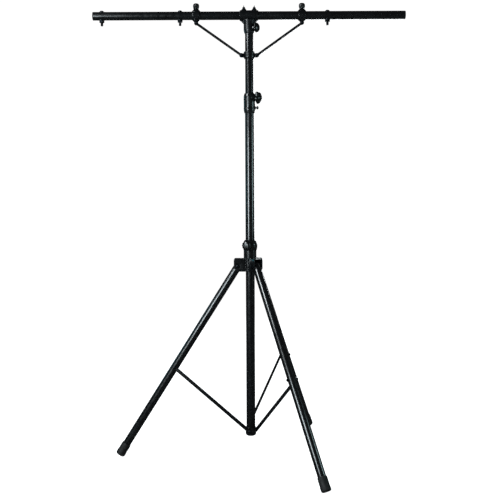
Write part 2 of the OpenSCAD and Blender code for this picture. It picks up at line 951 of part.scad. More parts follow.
module foot(i) {
    floor_h = 8;
    color(rubber)
    leg_frame(i)
        difference() {
            translate([0, 0, leg_length])
                rotate_extrude()
                    polygon([[0, -foot_length], [foot_r - 1.2, -foot_length],
                        [foot_r, 1.2 - foot_length], [foot_r, -foot_bevel],
                        [foot_r - foot_bevel, 0], [0, 0]]);
            translate([0, 0, leg_length - foot_length - cut])
                cylinder(r = leg_r + fit, h = foot_length - floor_h + cut);
        }
}

module leg_bolt(i) {
    head_y = strut_side + strut_thick/2 + gap;
    nut_y = -leg_r - nut_h;
    color(steel)
    leg_frame(i)
        translate([0, 0, leg_joint])
            along_y() {
                translate([0, 0, nut_y - 1])
                    cylinder(r = bolt6_r, h = head_y - nut_y + 1);
                translate([0, 0, head_y])
                    button_head(bolt6_head_r, head_h);
                translate([0, 0, nut_y])
                    hex_nut(bolt6_r, nut_h);
            }
}

module leg_spacer(i) {
    high = strut_side - strut_thick/2 - gap;
    color(plastic)
    leg_frame(i)
        difference() {
            translate([0, leg_r - 2, leg_joint])
                along_y()
                    ring(bolt6_head_r, bolt6_r + fit, high - leg_r + 2);
            cylinder(r = leg_r + fit, h = leg_length);
        }
}

outer_mast_tube();
base_bracket();
base_bolts();
mast_collar();
mast_knob();
mast_knob_screw();
plunger_pin();
plunger_knob();
inner_mast_tube();
inner_guide();
t_adapter();
adapter_knob();
adapter_knob_screw();
wing_bolt(-1);  // wing_bolt_left
wing_bolt(1);  // wing_bolt_right
arm(-1, [fixture_end_x, fixture_left_x]);  // arm_left
arm(1, [fixture_right_x]);  // arm_right
end_cap(-1);  // end_cap_left
end_cap(1);  // end_cap_right
fixture_bolts_left();
fixture_nuts_left();
fixture_bolt(fixture_right_x);  // fixture_bolt_right
fixture_nut(fixture_right_x);  // fixture_nut_right
clamp(-1);  // clamp_left
clamp(1);  // clamp_right
clamp_knob(-1);  // clamp_knob_left
clamp_knob(1);  // clamp_knob_right
clamp_bolt(-1);  // clamp_bolt_left
clamp_bolt(1);  // clamp_bolt_right
brace(-1);  // brace_left
brace(1);  // brace_right
brace_collar();
brace_collar_bolts();
hub_frame();
hub_collar();
hub_pivot_bolts();
hub_pivot_nuts();
hub_knob();
hub_knob_screw();
strut(left);  // strut_left
strut(front);  // strut_front
strut(rear);  // strut_rear
leg_tube(left);  // leg_tube_left
leg_tube(front);  // leg_tube_front
leg_tube(rear);  // leg_tube_rear
leg_plug(left);  // leg_plug_left
leg_plug(front);  // leg_plug_front
leg_plug(rear);  // leg_plug_rear
foot(left);  // foot_left
foot(front);  // foot_front
foot(rear);  // foot_rear
leg_bolt(left);  // leg_bolt_left
leg_bolt(front);  // leg_bolt_front
leg_bolt(rear);  // leg_bolt_rear
leg_spacer(left);  // leg_spacer_left
leg_spacer(front);  // leg_spacer_front
leg_spacer(rear);  // leg_spacer_rear
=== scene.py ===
"""Black tripod lighting stand with a braced T-bar: its finished pieces, finishes and studio."""

import json
import math

import bmesh
import bpy
from mathutils import Matrix, Vector


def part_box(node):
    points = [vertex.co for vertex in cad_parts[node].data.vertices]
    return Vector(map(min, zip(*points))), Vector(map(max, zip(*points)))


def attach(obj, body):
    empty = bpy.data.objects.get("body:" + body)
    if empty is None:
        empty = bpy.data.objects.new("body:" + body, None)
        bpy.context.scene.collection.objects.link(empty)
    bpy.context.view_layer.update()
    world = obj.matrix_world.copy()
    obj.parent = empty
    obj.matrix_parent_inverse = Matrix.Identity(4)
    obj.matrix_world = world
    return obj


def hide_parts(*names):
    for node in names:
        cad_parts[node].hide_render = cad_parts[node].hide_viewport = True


bl_info = {"name": "Tripod lighting stand", "version": (1, 0, 0), "blender": (4, 5, 0),
           "location": "View3D > Sidebar > Stand", "description":
           "Builds the finished pieces of a telescopic tripod lighting stand over its frame",
           "category": "Object",}

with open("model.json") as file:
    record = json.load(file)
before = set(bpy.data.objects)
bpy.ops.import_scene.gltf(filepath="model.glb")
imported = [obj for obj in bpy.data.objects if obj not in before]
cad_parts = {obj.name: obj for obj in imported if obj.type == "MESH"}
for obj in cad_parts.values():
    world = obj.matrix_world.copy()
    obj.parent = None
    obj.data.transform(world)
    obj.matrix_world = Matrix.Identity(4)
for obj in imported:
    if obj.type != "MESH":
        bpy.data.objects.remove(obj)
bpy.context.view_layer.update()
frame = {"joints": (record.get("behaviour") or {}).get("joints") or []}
JOINTS = {joint["name"]: joint for joint in frame["joints"]}

MM = 0.001
# Clearances in millimetres: around something that stays put, and around something that slides.
FIT = 0.05
PLAY = 0.3
# Sides of a tube or another large round.
ROUND = 96
LEGS = ("left", "front", "rear")
SIDES = {"left": -1, "right": 1}
HERE = Matrix.Identity(4)


# ---------------------------------------------------------------- sizes read from the frame


def low(node):
    """Lowest corner of a frame node, in millimetres."""
    return Vector(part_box(node)[0]) / MM


def high(node):
    """Highest corner of a frame node, in millimetres."""
    return Vector(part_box(node)[1]) / MM


def pivot(name):
    """A joint's point, in millimetres."""
    return Vector(JOINTS[name]["pos_m"]) / MM


def azimuth(vector):
    """Direction of a vector seen from above, in degrees from +X."""
    return math.degrees(math.atan2(vector[1], vector[0]))


def flat_distance(vector):
    """Distance from the mast axis."""
    return math.hypot(vector[0], vector[1])


MAST_R = (high("outer_mast_tube").x - low("outer_mast_tube").x) / 2
MAST_LOW = low("outer_mast_tube").z
MAST_TOP = high("outer_mast_tube").z
MAST_WALL = 1.2
INNER_R = (high("inner_mast_tube").x - low("inner_mast_tube").x) / 2
TUBE_WALL = 1.5
BAR_Z = (high("arm_left").z + low("arm_left").z) / 2
BAR_R = (high("arm_left").z - low("arm_left").z) / 2
ARM_INNER = low("arm_right").x
ARM_OUTER = high("arm_right").x

LEG_AZIMUTH = {"left": 180, "front": -60, "rear": 60}
PIVOT_R = flat_distance(pivot("hub_rise"))
PIVOT_Z = pivot("hub_rise").z
STRUT_FOOT = pivot("strut_left_fold")
STRUT_HEAD = pivot("leg_left_fold")
STRUT_SIDE = abs(STRUT_FOOT.y)
STRUT_THICK = high("strut_left").y - low("strut_left").y
STRUT_LENGTH = (STRUT_HEAD - STRUT_FOOT).length
STRUT_TILT = math.atan2(STRUT_FOOT.x - STRUT_HEAD.x, STRUT_HEAD.z - STRUT_FOOT.z)
LEG_TILT = math.atan2(-STRUT_HEAD.x - PIVOT_R, PIVOT_Z - STRUT_HEAD.z)
LEG_JOINT = (PIVOT_Z - STRUT_HEAD.z) / math.cos(LEG_TILT)
LEG_R = (high("leg_tube_left").y - low("leg_tube_left").y) / 2
FOOT_R = (high("foot_left").y - low("foot_left").y) / 2
FOOT_BEVEL = 3
FOOT_LENGTH = 52
LEG_LENGTH = (PIVOT_Z - (FOOT_R - FOOT_BEVEL) * math.sin(LEG_TILT)) / math.cos(LEG_TILT)
LEG_TOP = 12
BASE_X = STRUT_FOOT.x

HUB_LOW = low("hub_frame").z
HUB_TOP = high("hub_frame").z
HUB_R = 24.6
HUB_PLAY = 6.8
LEG_DRIFT = 1.5 * (HUB_PLAY - PLAY)
HUB_BULGE = 4.2
HUB_BURY = 2.2
BRACKET_REACH = 64
BRACKET_ABOVE = 31
BRACKET_PLATE = 2.5
CHEEKS = {"left": (-21.53, 15.9), "front": (-15.9, 15.9), "rear": (-15.9, 21.53)}

# Radii of the fasteners, the head and nut of an M6 bolt, and the pitch of an M8 thread.
M6 = 3
M8 = 4
M10 = 5
M6_HEAD = (6, 4)
NUT_HIGH = 5
M8_PITCH = 1.25


# ---------------------------------------------------------------- places


def turn(degrees, axis):
    """Rotation about a local axis."""
    return Matrix.Rotation(math.radians(degrees), 4, axis)


def shift(x=0, y=0, z=0):
    """Translation in millimetres."""
    return Matrix.Translation(Vector((x, y, z)) * MM)


def out_of_mast(direction, height, distance=0):
    """Place whose local Z points away from the mast axis and whose local X points down."""
    return turn(direction, "Z") @ shift(0, 0, height) @ turn(90, "Y") @ shift(0, 0, distance)


def knob_place(name):
    """Place of a knob on the joint that it turns in."""
    joint = JOINTS[name]
    return out_of_mast(azimuth(joint["axis"]), pivot(name).z, flat_distance(pivot(name)))


def leg_place(name, along=0):
    """Place whose local Z runs down a leg from its pivot, with Y across the leg."""
    return (turn(LEG_AZIMUTH[name], "Z") @ shift(PIVOT_R, 0, PIVOT_Z)
            @ turn(180 - math.degrees(LEG_TILT), "Y") @ shift(0, 0, along))


def strut_place(name):
    """Place whose local Z runs up a strut from its lower bolt."""
    side = STRUT_SIDE - STRUT_THICK / 2
    return (turn(LEG_AZIMUTH[name], "Z") @ shift(-BASE_X, side, STRUT_FOOT.z)
            @ turn(math.degrees(STRUT_TILT), "Y"))


def across(place, offset=0):
    """The same place turned so that its local Z points along +Y."""
    return place @ turn(-90, "X") @ shift(0, 0, offset)


def bar_place(x, outwards=1):
    """Place on the T-bar whose local Z runs along the bar, away from the mast."""
    return shift(x, 0, BAR_Z) @ turn(90 * outwards, "Y")


# ---------------------------------------------------------------- outlines


def rounded(corners, closed=True, step=18):
    """Outline through (x, y) or (x, y, radius) corners, with each radius drawn as an arc."""
    outline = []
    count = len(corners)
    for k, corner in enumerate(corners):
        here = Vector(corner[:2])
        ends = not closed and k in (0, count - 1)
        if len(corner) == 2 or ends:
            outline.append(tuple(here))
            continue
        to_last = (Vector(corners[k - 1][:2]) - here).normalized()
        to_next = (Vector(corners[(k + 1) % count][:2]) - here).normalized()
        opening = to_last.angle(to_next)
        reach = corner[2] / math.tan(opening / 2)
        centre = here + (to_last + to_next).normalized() * (corner[2] / math.sin(opening / 2))
        start = here + to_last * reach - centre
        sweep = start.angle_signed(here + to_next * reach - centre)
        pieces = max(2, round(math.degrees(abs(sweep)) / step))
        for n in range(pieces + 1):
            arm = start.copy()
            arm.rotate(Matrix.Rotation(-sweep * n / pieces, 2))
            outline.append(tuple(centre + arm))
    return outline


def disc(radius, x=0, y=0, points=32):
    """Round outline."""
    angles = [2 * math.pi * k / points for k in range(points)]
    return [(x + radius * math.cos(a), y + radius * math.sin(a)) for a in angles]


def hexagon(radius):
    """Six-sided outline over its corners."""
    return disc(radius, points=6)


def slot_shape(length, radius, points=16):
    """Outline of a bar with round ends, from 0 to length along x."""
    arc = [math.pi * (k / points - 0.5) for k in range(points + 1)]
    right = [(length + radius * math.cos(a), radius * math.sin(a)) for a in arc]
    return right + [(-radius * math.cos(a), -radius * math.sin(a)) for a in arc]


def wall(outer, inner, start, end, edge=0.4):
    """Section of a tube with softened rims."""
    return rounded([(inner, start, edge), (outer, start, edge), (outer, end, edge), (inner, end, edge)])


def pulled_in(outline, inset):
    """The outline moved inwards by inset; a negative inset moves it outwards."""
    area = sum(a[0] * b[1] - b[0] * a[1] for a, b in zip(outline, outline[1:] + outline[:1]))
    side = 1 if area > 0 else -1
    moved = []
    count = len(outline)
    for k, point in enumerate(outline):
        here = Vector(point)
        before = (here - Vector(outline[k - 1])).normalized()
        after = (Vector(outline[(k + 1) % count]) - here).normalized()
        along = (before + after).normalized()
        normal = Vector((-along.y, along.x)) * side
        moved.append(tuple(here + normal * (inset / max(0.3, along.dot(after)))))
    return moved


# ---------------------------------------------------------------- solids


def mesh_of(thing):
    """The plain mesh that an object's modifiers make of it."""
    graph = bpy.context.evaluated_depsgraph_get()
    return bpy.data.meshes.new_from_object(thing.evaluated_get(graph))


def temporary(mesh):
    """A short-lived object that carries a mesh through its modifiers."""
    thing = bpy.data.objects.new("temporary", mesh)
    bpy.context.scene.collection.objects.link(thing)
    return thing


def scrap(*things):
    """Removes short-lived objects and their meshes."""
    for thing in things:
        mesh = thing.data
        bpy.data.objects.remove(thing)
        bpy.data.meshes.remove(mesh)


class Solid:
    """A closed shape in the making; sizes are in millimetres, places are matrices in metres."""

    def __init__(self):
        self.bm = bmesh.new()

    def turned(self, outline, place=HERE, segments=64):
        """Adds the solid made by turning an outline of (radius, height) about local Z."""
        rings = []
        for radius, height in outline:
            sides = segments if radius > 1e-6 else 1
            angles = [2 * math.pi * k / sides for k in range(sides)]
            rings.append([self.bm.verts.new(place @ (Vector((radius * math.cos(a), radius * math.sin(a),
                                                             height)) * MM)) for a in angles])
        open_ended = any(len(ring) == 1 for ring in rings)
        following = rings[1:] if open_ended else rings[1:] + rings[:1]
        for ring, other in zip(rings, following):
            for k in range(segments):
                n = (k + 1) % segments
                corners = [ring[k % len(ring)], ring[n % len(ring)], other[n % len(other)],
                           other[k % len(other)]]
                self.bm.faces.new(list(dict.fromkeys(corners)))
        return self

    def lathe(self, corners, place=HERE, segments=64):
        """Adds a turned solid whose section runs through corners from local Z back to it."""
        return self.turned(rounded(corners, closed=False), place, segments)

    def plate(self, outline, place, thick, holes=(), edge=0.4):
        """Adds a plate from local Z 0 to thick with softened rims; holes are outlines."""
        layers = ((edge, 0), (edge * 0.3, edge * 0.3), (0, edge), (0, thick - edge),
                  (edge * 0.3, thick - edge * 0.3), (edge, thick))
        caps = {0: [], len(layers) - 1: []}
        for loop, way in [(outline, 1)] + [(hole, -1) for hole in holes]:
            rings = [[self.bm.verts.new(place @ (Vector((x, y, height)) * MM))
                      for x, y in pulled_in(loop, inset * way)] for inset, height in layers]
            for ring, other in zip(rings, rings[1:]):
                for k in range(len(ring)):
                    n = (k + 1) % len(ring)
                    self.bm.faces.new((ring[k], ring[n], other[n], other[k]))
            for level in caps:
                ring = rings[level]
                caps[level] += [self.bm.edges.get((ring[k], ring[(k + 1) % len(ring)]))
                                for k in range(len(ring))]
        for edges in caps.values():
            bmesh.ops.triangle_fill(self.bm, edges=edges, use_beauty=True)
        return self

    def add_mesh(self, mesh, place=HERE):
        """Adds a ready mesh at a place."""
        copy = mesh.copy()
        copy.transform(place)
        self.bm.from_mesh(copy)
        bpy.data.meshes.remove(copy)
        return self

    def mesh(self):
        """The solid as a mesh with its faces pointing outwards."""
        bmesh.ops.remove_doubles(self.bm, verts=self.bm.verts, dist=1e-7)
        bmesh.ops.recalc_face_normals(self.bm, faces=self.bm.faces)
        mesh = bpy.data.meshes.new("solid")
        self.bm.to_mesh(mesh)
        return mesh

    def take(self, mesh):
        """Goes on with another mesh."""
        self.bm.clear()
        self.bm.from_mesh(mesh)
        bpy.data.meshes.remove(mesh)
        return self

    def combined(self, other, operation):
        """Cuts another solid away, adds it or keeps what is shared."""
        body, tool = temporary(self.mesh()), temporary(other.mesh())
        step = body.modifiers.new("Combine", "BOOLEAN")
        step.operation = operation
        step.solver = "MANIFOLD"
        step.object = tool
        result = mesh_of(body)
        scrap(body, tool)
        if not result.polygons:
            raise RuntimeError("a solid vanished when it was combined with another")
        return self.take(result)

    def cut(self, other):
        """Cuts another solid away."""
        return self.combined(other, "DIFFERENCE")

    def drill(self, radius, start, end, place, segments=40, edge=0.4):
        """Cuts a round bar away."""
        return self.cut(rod(Solid(), radius, start, end, place, segments, edge))

    def fused(self, coarser=1.0, rounds=4):
        """Melts the shells added so far into one, with filleted joins and softened edges."""
        grain = bpy.context.scene.stand_sizes.melt_grain * coarser
        body = temporary(self.mesh())
        melt = body.modifiers.new("Melt", "REMESH")
        melt.mode = "VOXEL"
        melt.voxel_size = grain
        soften = body.modifiers.new("Soften", "SMOOTH")
        soften.factor = 0.5
        soften.iterations = rounds
        result = mesh_of(body)
        scrap(body)
        return self.take(result)

    def finish(self, name, finish, body, *nodes, sharp=38):
        """Makes the finished piece, which rides on a body and stands for frame nodes."""
        return finished(name, self.mesh(), finish, body, *nodes, sharp=sharp)


def finished(name, mesh, finish, body, *nodes, sharp=38):
    """Turns a mesh that lies in its place into a piece of the stand."""
    shade(mesh, sharp)
    mesh.materials.clear()
    mesh.materials.append(FINISHES[finish]())
    mesh.name = name
    piece = bpy.data.objects.new(name, mesh)
    bpy.context.scene.collection.objects.link(piece)
    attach(piece, body)
    if nodes:
        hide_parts(*nodes)
    return piece


def shade(mesh, sharp):
    """Smooth shading, with the edges over an angle in degrees kept crisp."""
    bm = bmesh.new()
    bm.from_mesh(mesh)
    for face in bm.faces:
        face.smooth = True
    for edge in bm.edges:
        edge.smooth = len(edge.link_faces) == 2 and edge.calc_face_angle() < math.radians(sharp)
    bm.to_mesh(mesh)
    bm.free()


# ---------------------------------------------------------------- node trees


def wire(tree, node, inputs):
    """Sets a node's inputs, each to a value, an output or another node's first output."""
    for key, value in inputs.items():
        if isinstance(value, bpy.types.Node):
            value = value.outputs[0]
        if isinstance(value, bpy.types.NodeSocket):
            tree.links.new(value, node.inputs[key])
        else:
            node.inputs[key].default_value = value


def add(tree, kind, inputs=None, **settings):
    """Adds a node with its settings and inputs."""
    node = tree.nodes.new(kind)
    for name, value in settings.items():
        setattr(node, name, value)
    wire(tree, node, inputs or {})
    return node


def shape_tree(name, sizes):
    """A Geometry Nodes tree with named inputs; sizes maps each input to its socket type."""
    tree = bpy.data.node_groups.new(name, "GeometryNodeTree")
    tree.interface.new_socket(name="Geometry", in_out="INPUT", socket_type="NodeSocketGeometry")
    for label, kind in sizes.items():
        tree.interface.new_socket(name=label, in_out="INPUT", socket_type="NodeSocket" + kind)
    tree.interface.new_socket(name="Material", in_out="INPUT", socket_type="NodeSocketMaterial")
    tree.interface.new_socket(name="Geometry", in_out="OUTPUT", socket_type="NodeSocketGeometry")
    return tree, add(tree, "NodeGroupInput").outputs


def close_tree(tree, given, geometry):
    """Ends a tree with realised instances that carry the material."""
    real = add(tree, "GeometryNodeRealizeInstances", {"Geometry": geometry})
    painted = add(tree, "GeometryNodeSetMaterial", {"Geometry": real, "Material": given["Material"]})
    add(tree, "NodeGroupOutput", {0: painted})
    return tree


def grown(tree, mesh, finish, **values):
    """The plain mesh that a tree makes, with its inputs set by their identifiers."""
    thing = temporary(mesh or bpy.data.meshes.new("seed"))
    step = thing.modifiers.new(tree.name, "NODES")
    step.node_group = tree
    sockets = {item.name: item.identifier for item in tree.interface.items_tree if item.in_out == "INPUT"}
    step[sockets["Material"]] = FINISHES[finish]()
    for label, value in values.items():
        step[sockets[label.replace("_", " ").capitalize()]] = value
    result = mesh_of(thing)
    scrap(thing)
    return result


def thread_tree():
    """Screw thread: a core with a rounded ridge wound round it along local Z."""
    tree, given = shape_tree("Screw thread", {"Radius": "Float", "Pitch": "Float", "Length": "Float"})
    ridge = add(tree, "ShaderNodeMath", {0: given["Pitch"], 1: 0.42}, operation="MULTIPLY")
    path_r = add(tree, "ShaderNodeMath", {0: given["Radius"], 1: ridge}, operation="SUBTRACT")
    turns = add(tree, "ShaderNodeMath", {0: given["Length"], 1: given["Pitch"]}, operation="DIVIDE")
    helix = add(tree, "GeometryNodeCurveSpiral", {"Resolution": 20, "Rotations": turns,
                                                  "Start Radius": path_r, "End Radius": path_r,
                                                  "Height": given["Length"]})
    section = add(tree, "GeometryNodeCurvePrimitiveCircle", {"Resolution": 6, "Radius": ridge})
    wound = add(tree, "GeometryNodeCurveToMesh", {"Curve": helix, "Profile Curve": section,
                                                  "Fill Caps": True})
    core_r = add(tree, "ShaderNodeMath", {0: path_r, 1: 0.0001}, operation="SUBTRACT")
    half = add(tree, "ShaderNodeMath", {0: given["Length"], 1: 0.5}, operation="MULTIPLY")
    core = add(tree, "GeometryNodeMeshCylinder", {"Vertices": 32, "Radius": core_r,
                                                  "Depth": given["Length"]})
    lift = add(tree, "ShaderNodeCombineXYZ", {"Z": half})
    lifted = add(tree, "GeometryNodeTransform", {"Geometry": core, "Translation": lift})
    both = add(tree, "GeometryNodeJoinGeometry")
    for part in (lifted, wound):
        tree.links.new(part.outputs[0], both.inputs[0])
    return close_tree(tree, given, both)


def weld_tree():
    """Weld bead: overlapping puddles laid along a line of edges, each a little different."""
    tree, given = shape_tree("Weld bead", {"Width": "Float", "Spacing": "Float", "Seed": "Int"})
    line = add(tree, "GeometryNodeMeshToCurve", {"Mesh": given["Geometry"]})
    steps = add(tree, "GeometryNodeResampleCurve", {"Curve": line, "Length": given["Spacing"]},
                mode="LENGTH")
    puddle = add(tree, "GeometryNodeMeshUVSphere", {"Segments": 10, "Rings": 6, "Radius": 1.0})
    tangent = add(tree, "GeometryNodeInputTangent")
    facing = add(tree, "FunctionNodeAlignRotationToVector", {"Vector": tangent}, axis="X")
    vary = add(tree, "FunctionNodeRandomValue", {"Min": (0.95, 0.85, 0.85), "Max": (1.1, 1.1, 1.1),
                                                 "Seed": given["Seed"]}, data_type="FLOAT_VECTOR")
    half = add(tree, "ShaderNodeMath", {0: given["Width"], 1: 0.5}, operation="MULTIPLY")
    size = add(tree, "ShaderNodeCombineXYZ", {"X": given["Spacing"], "Y": half, "Z": half})
    scale = add(tree, "ShaderNodeVectorMath", {0: size, 1: vary}, operation="MULTIPLY")
    laid = add(tree, "GeometryNodeInstanceOnPoints",
               {"Points": steps, "Instance": puddle, "Rotation": facing, "Scale": scale})
    return close_tree(tree, given, laid)


def flute_tree():
    """Finger grip: presses evenly spaced hollows into the rim of a turned blank."""
    tree, given = shape_tree("Finger grip", {"Hollows": "Float", "Depth": "Float",
                                             "Sharpness": "Float", "Rim": "Float", "Reach": "Float"})
    place = add(tree, "GeometryNodeInputPosition")
    axes = add(tree, "ShaderNodeSeparateXYZ", {0: place})
    angle = add(tree, "ShaderNodeMath", {0: axes.outputs["Y"], 1: axes.outputs["X"]}, operation="ARCTAN2")
    phase = add(tree, "ShaderNodeMath", {0: angle, 1: given["Hollows"]}, operation="MULTIPLY")
    wave = add(tree, "ShaderNodeMath", {0: phase}, operation="COSINE")
    hollow = add(tree, "ShaderNodeMapRange", {"Value": wave, "From Min": 1.0, "From Max": -1.0})
    shaped = add(tree, "ShaderNodeMath", {0: hollow, 1: given["Sharpness"]}, operation="POWER")
    flat = add(tree, "ShaderNodeCombineXYZ", {"X": axes.outputs["X"], "Y": axes.outputs["Y"]})
    radius = add(tree, "ShaderNodeVectorMath", {0: flat}, operation="LENGTH")
    fade = add(tree, "ShaderNodeMapRange", {"Value": radius.outputs["Value"], "From Min": given["Reach"],
                                            "From Max": given["Rim"]}, interpolation_type="SMOOTHSTEP")
    amount = add(tree, "ShaderNodeMath", {0: shaped, 1: fade}, operation="MULTIPLY")
    depth = add(tree, "ShaderNodeMath", {0: amount, 1: given["Depth"]}, operation="MULTIPLY")
    keep = add(tree, "ShaderNodeMath", {0: 1.0, 1: depth}, operation="SUBTRACT")
    scale = add(tree, "ShaderNodeCombineXYZ", {"X": keep, "Y": keep, "Z": 1.0})
    moved = add(tree, "ShaderNodeVectorMath", {0: place, 1: scale}, operation="MULTIPLY")
    pressed = add(tree, "GeometryNodeSetPosition", {"Geometry": given["Geometry"], "Position": moved})
    return close_tree(tree, given, pressed)


def ring_tree():
    """Grip rings: equal round ribs stacked along local Z."""
    tree, given = shape_tree("Grip rings", {"Radius": "Float", "Rib": "Float", "Pitch": "Float",
                                            "Count": "Int"})
    hoop = add(tree, "GeometryNodeCurvePrimitiveCircle", {"Resolution": 64, "Radius": given["Radius"]})
    section = add(tree, "GeometryNodeCurvePrimitiveCircle", {"Resolution": 10, "Radius": given["Rib"]})
    rib = add(tree, "GeometryNodeCurveToMesh", {"Curve": hoop, "Profile Curve": section})
    rise = add(tree, "ShaderNodeCombineXYZ", {"Z": given["Pitch"]})
    posts = add(tree, "GeometryNodeMeshLine", {"Count": given["Count"], "Offset": rise})
    stacked = add(tree, "GeometryNodeInstanceOnPoints", {"Points": posts, "Instance": rib})
    return close_tree(tree, given, stacked)


TREES = {}


def tree_of(maker):
    """A tree, built the first time that it is asked for."""
    if maker.__name__ not in TREES:
        TREES[maker.__name__] = maker()
    return TREES[maker.__name__]


# ---------------------------------------------------------------- finishes


def linear(code):
    """Scene colour of an sRGB hex code."""
    parts = [int(code[k:k + 2], 16) / 255 for k in (1, 3, 5)]
    curve = [p / 12.92 if p <= 0.04045 else ((p + 0.055) / 1.055) ** 2.4 for p in parts]
    return (*curve, 1.0)


def per_metre(size_mm):
    """Noise scale whose features are about size_mm across."""
    return 1 / (size_mm * MM)


def new_finish(name):
    """An empty material with its shader; returns the material, its tree and the shader."""
    material = bpy.data.materials.new(name)
    material.use_nodes = True
    tree = material.node_tree
    tree.nodes.clear()
    shader = add(tree, "ShaderNodeBsdfPrincipled")
    add(tree, "ShaderNodeOutputMaterial", {"Surface": shader})
    return material, tree, shader


def grain(tree, size_mm, stretch=(1, 1, 1), detail=3.0):
    """Noise on the piece itself; its features are size_mm across, times stretch."""
    spot = add(tree, "ShaderNodeTexCoord").outputs["Object"]
    sized = add(tree, "ShaderNodeMapping", {"Vector": spot, "Scale": [1 / part for part in stretch]})
    return add(tree, "ShaderNodeTexNoise", {"Vector": sized, "Scale": per_metre(size_mm), "Detail": detail})


def spread(tree, source, start, end, lowest=0.35, highest=0.65):
    """A value that runs from start to end over the middle of a noise."""
    return add(tree, "ShaderNodeMapRange", {"Value": source, "From Min": lowest, "From Max": highest,
                                            "To Min": start, "To Max": end})


def tinted(tree, source, dark, light, lowest=0.35, highest=0.65):
    """A colour between two hex codes, by a noise."""
    share = spread(tree, source, 0.0, 1.0, lowest, highest)
    return add(tree, "ShaderNodeMix", {"Factor": share, 6: linear(dark), 7: linear(light)},
               data_type="RGBA").outputs[2]


def raised(tree, source, height_mm, strength=1.0, under=None):
    """Bump of a real height from a noise, on top of another bump."""
    inputs = {"Height": source, "Strength": strength, "Distance": height_mm * MM}
    if under:
        inputs["Normal"] = under
    return add(tree, "ShaderNodeBump", inputs)


def powder_coat():
    """Gloss black powder coat on steel, sprayed and baked: dark, wet-looking, soft orange peel."""
    look = bpy.context.scene.stand_finishes
    material, tree, shader = new_finish("gloss black powder coat")
    cloud = grain(tree, 14, detail=4.0)
    # The real peel is under 1 mm across; 8 mm is the finest that shows at this distance.
    peel = raised(tree, grain(tree, 8.0, detail=0.0), 0.03, 0.1)
    wire(tree, shader, {"Base Color": tinted(tree, grain(tree, 90), look.coat_dark, look.coat_light),
                        "Roughness": spread(tree, cloud, look.coat_gloss - 0.05, look.coat_gloss + 0.08),
                        "Normal": raised(tree, grain(tree, 60, detail=0.0), 0.3, 0.2, under=peel),
                        "Coat Weight": 0.55, "Coat Roughness": 0.12, "Coat Normal": peel})
    return material


def rubbed_coat():
    """The same powder coat on a tube that slides in another: fine rub lines run along it."""
    look = bpy.context.scene.stand_finishes
    material, tree, shader = new_finish("rubbed black powder coat")
    cloud = grain(tree, 14, detail=4.0)
    # Real rub lines are hair-thin; 1.2 mm is the finest that shows at this distance.
    lines = grain(tree, 1.2, stretch=(1, 1, 120), detail=2.0)
    base = spread(tree, cloud, look.coat_gloss - 0.08, look.coat_gloss - 0.02)
    scuff = spread(tree, lines, 0.0, 0.12, 0.5, 0.75)
    peel = raised(tree, grain(tree, 8.0, detail=0.0), 0.03, 0.1)
    wire(tree, shader, {"Base Color": tinted(tree, lines, look.coat_dark, "#1e2427", 0.55, 0.8),
                        "Roughness": add(tree, "ShaderNodeMath", {0: base, 1: scuff}, operation="ADD"),
                        "Normal": raised(tree, lines, 0.02, 0.12, under=peel), "Coat Weight": 0.35,
                        "Coat Roughness": 0.14})
    return material


def moulded_plastic():
    """Glass-filled nylon moulded in a lightly textured tool: satin black with a soft even sheen."""
    look = bpy.context.scene.stand_finishes
    material, tree, shader = new_finish("moulded black nylon")
    broad = grain(tree, 25)
    # The tool's texture is finer than this; 1.4 mm is the finest that shows at this distance.
    fine = grain(tree, 1.4, detail=2.0)
    wire(tree, shader, {"Base Color": tinted(tree, broad, look.plastic_dark, look.plastic_light),
                        "Roughness": spread(tree, broad, 0.22, 0.3), "Normal": raised(tree, fine, 0.05,
                                                                                      0.15), "IOR": 1.53})
    return material


def foot_rubber():
    """Moulded rubber: matt black, with a trace of grey dust and a pitted skin."""
    material, tree, shader = new_finish("moulded black rubber")
    dust = grain(tree, 12, detail=5.0)
    wire(tree, shader, {"Base Color": tinted(tree, dust, "#070708", "#111110", 0.45, 0.75),
                        "Roughness": spread(tree, dust, 0.6, 0.8), "Normal": raised(tree, grain(tree, 2.0),
                                                                                    0.08, 0.5),
                        "IOR": 1.52})
    return material


def blackened_steel():
    """Black oxide on steel fasteners: dark metal with an oily sheen and faint tool marks."""
    look = bpy.context.scene.stand_finishes
    material, tree, shader = new_finish("blackened steel")
    patch = grain(tree, 5, detail=4.0)
    wire(tree, shader, {"Base Color": tinted(tree, patch, look.steel_dark, look.steel_light),
                        "Roughness": spread(tree, patch, 0.3, 0.5),
                        "Normal": raised(tree, grain(tree, 0.9, detail=2.0), 0.03, 0.4), "Metallic": 1.0})
    return material


def studio_paper():
    """Matt white background paper, with a hardly visible fibre tone."""
    material, tree, shader = new_finish("white background paper")
    fibre = grain(tree, 30)
    # Paper lit through from behind, so the stand throws hardly any shadow on it.
    wire(tree, shader, {"Base Color": tinted(tree, fibre, "#f6f6f4", "#fcfcfb"),
                        "Roughness": spread(tree, fibre, 0.85, 0.95), "Specular IOR Level": 0.2,
                        "Emission Color": linear("#ffffff"), "Emission Strength": 1.0})
    return material


MADE = {}


def once(maker):
    """The maker's material, made the first time that it is asked for."""
    def ready():
        if maker.__name__ not in MADE:
            MADE[maker.__name__] = maker()
        return MADE[maker.__name__]
    return ready


FINISHES = {"coat": once(powder_coat), "rubbed": once(rubbed_coat), "plastic": once(moulded_plastic),
            "rubber": once(foot_rubber), "steel": once(blackened_steel), "paper": once(studio_paper),}


# ---------------------------------------------------------------- fasteners and knobs


def rod(solid, radius, start, end, place, segments=40, edge=0.4):
    """Adds a round bar with bevelled ends."""
    outline = [(0, start), (radius - edge, start), (radius, start + edge), (radius, end - edge),
               (radius - edge, end), (0, end)]
    return solid.turned(outline, place, segments)


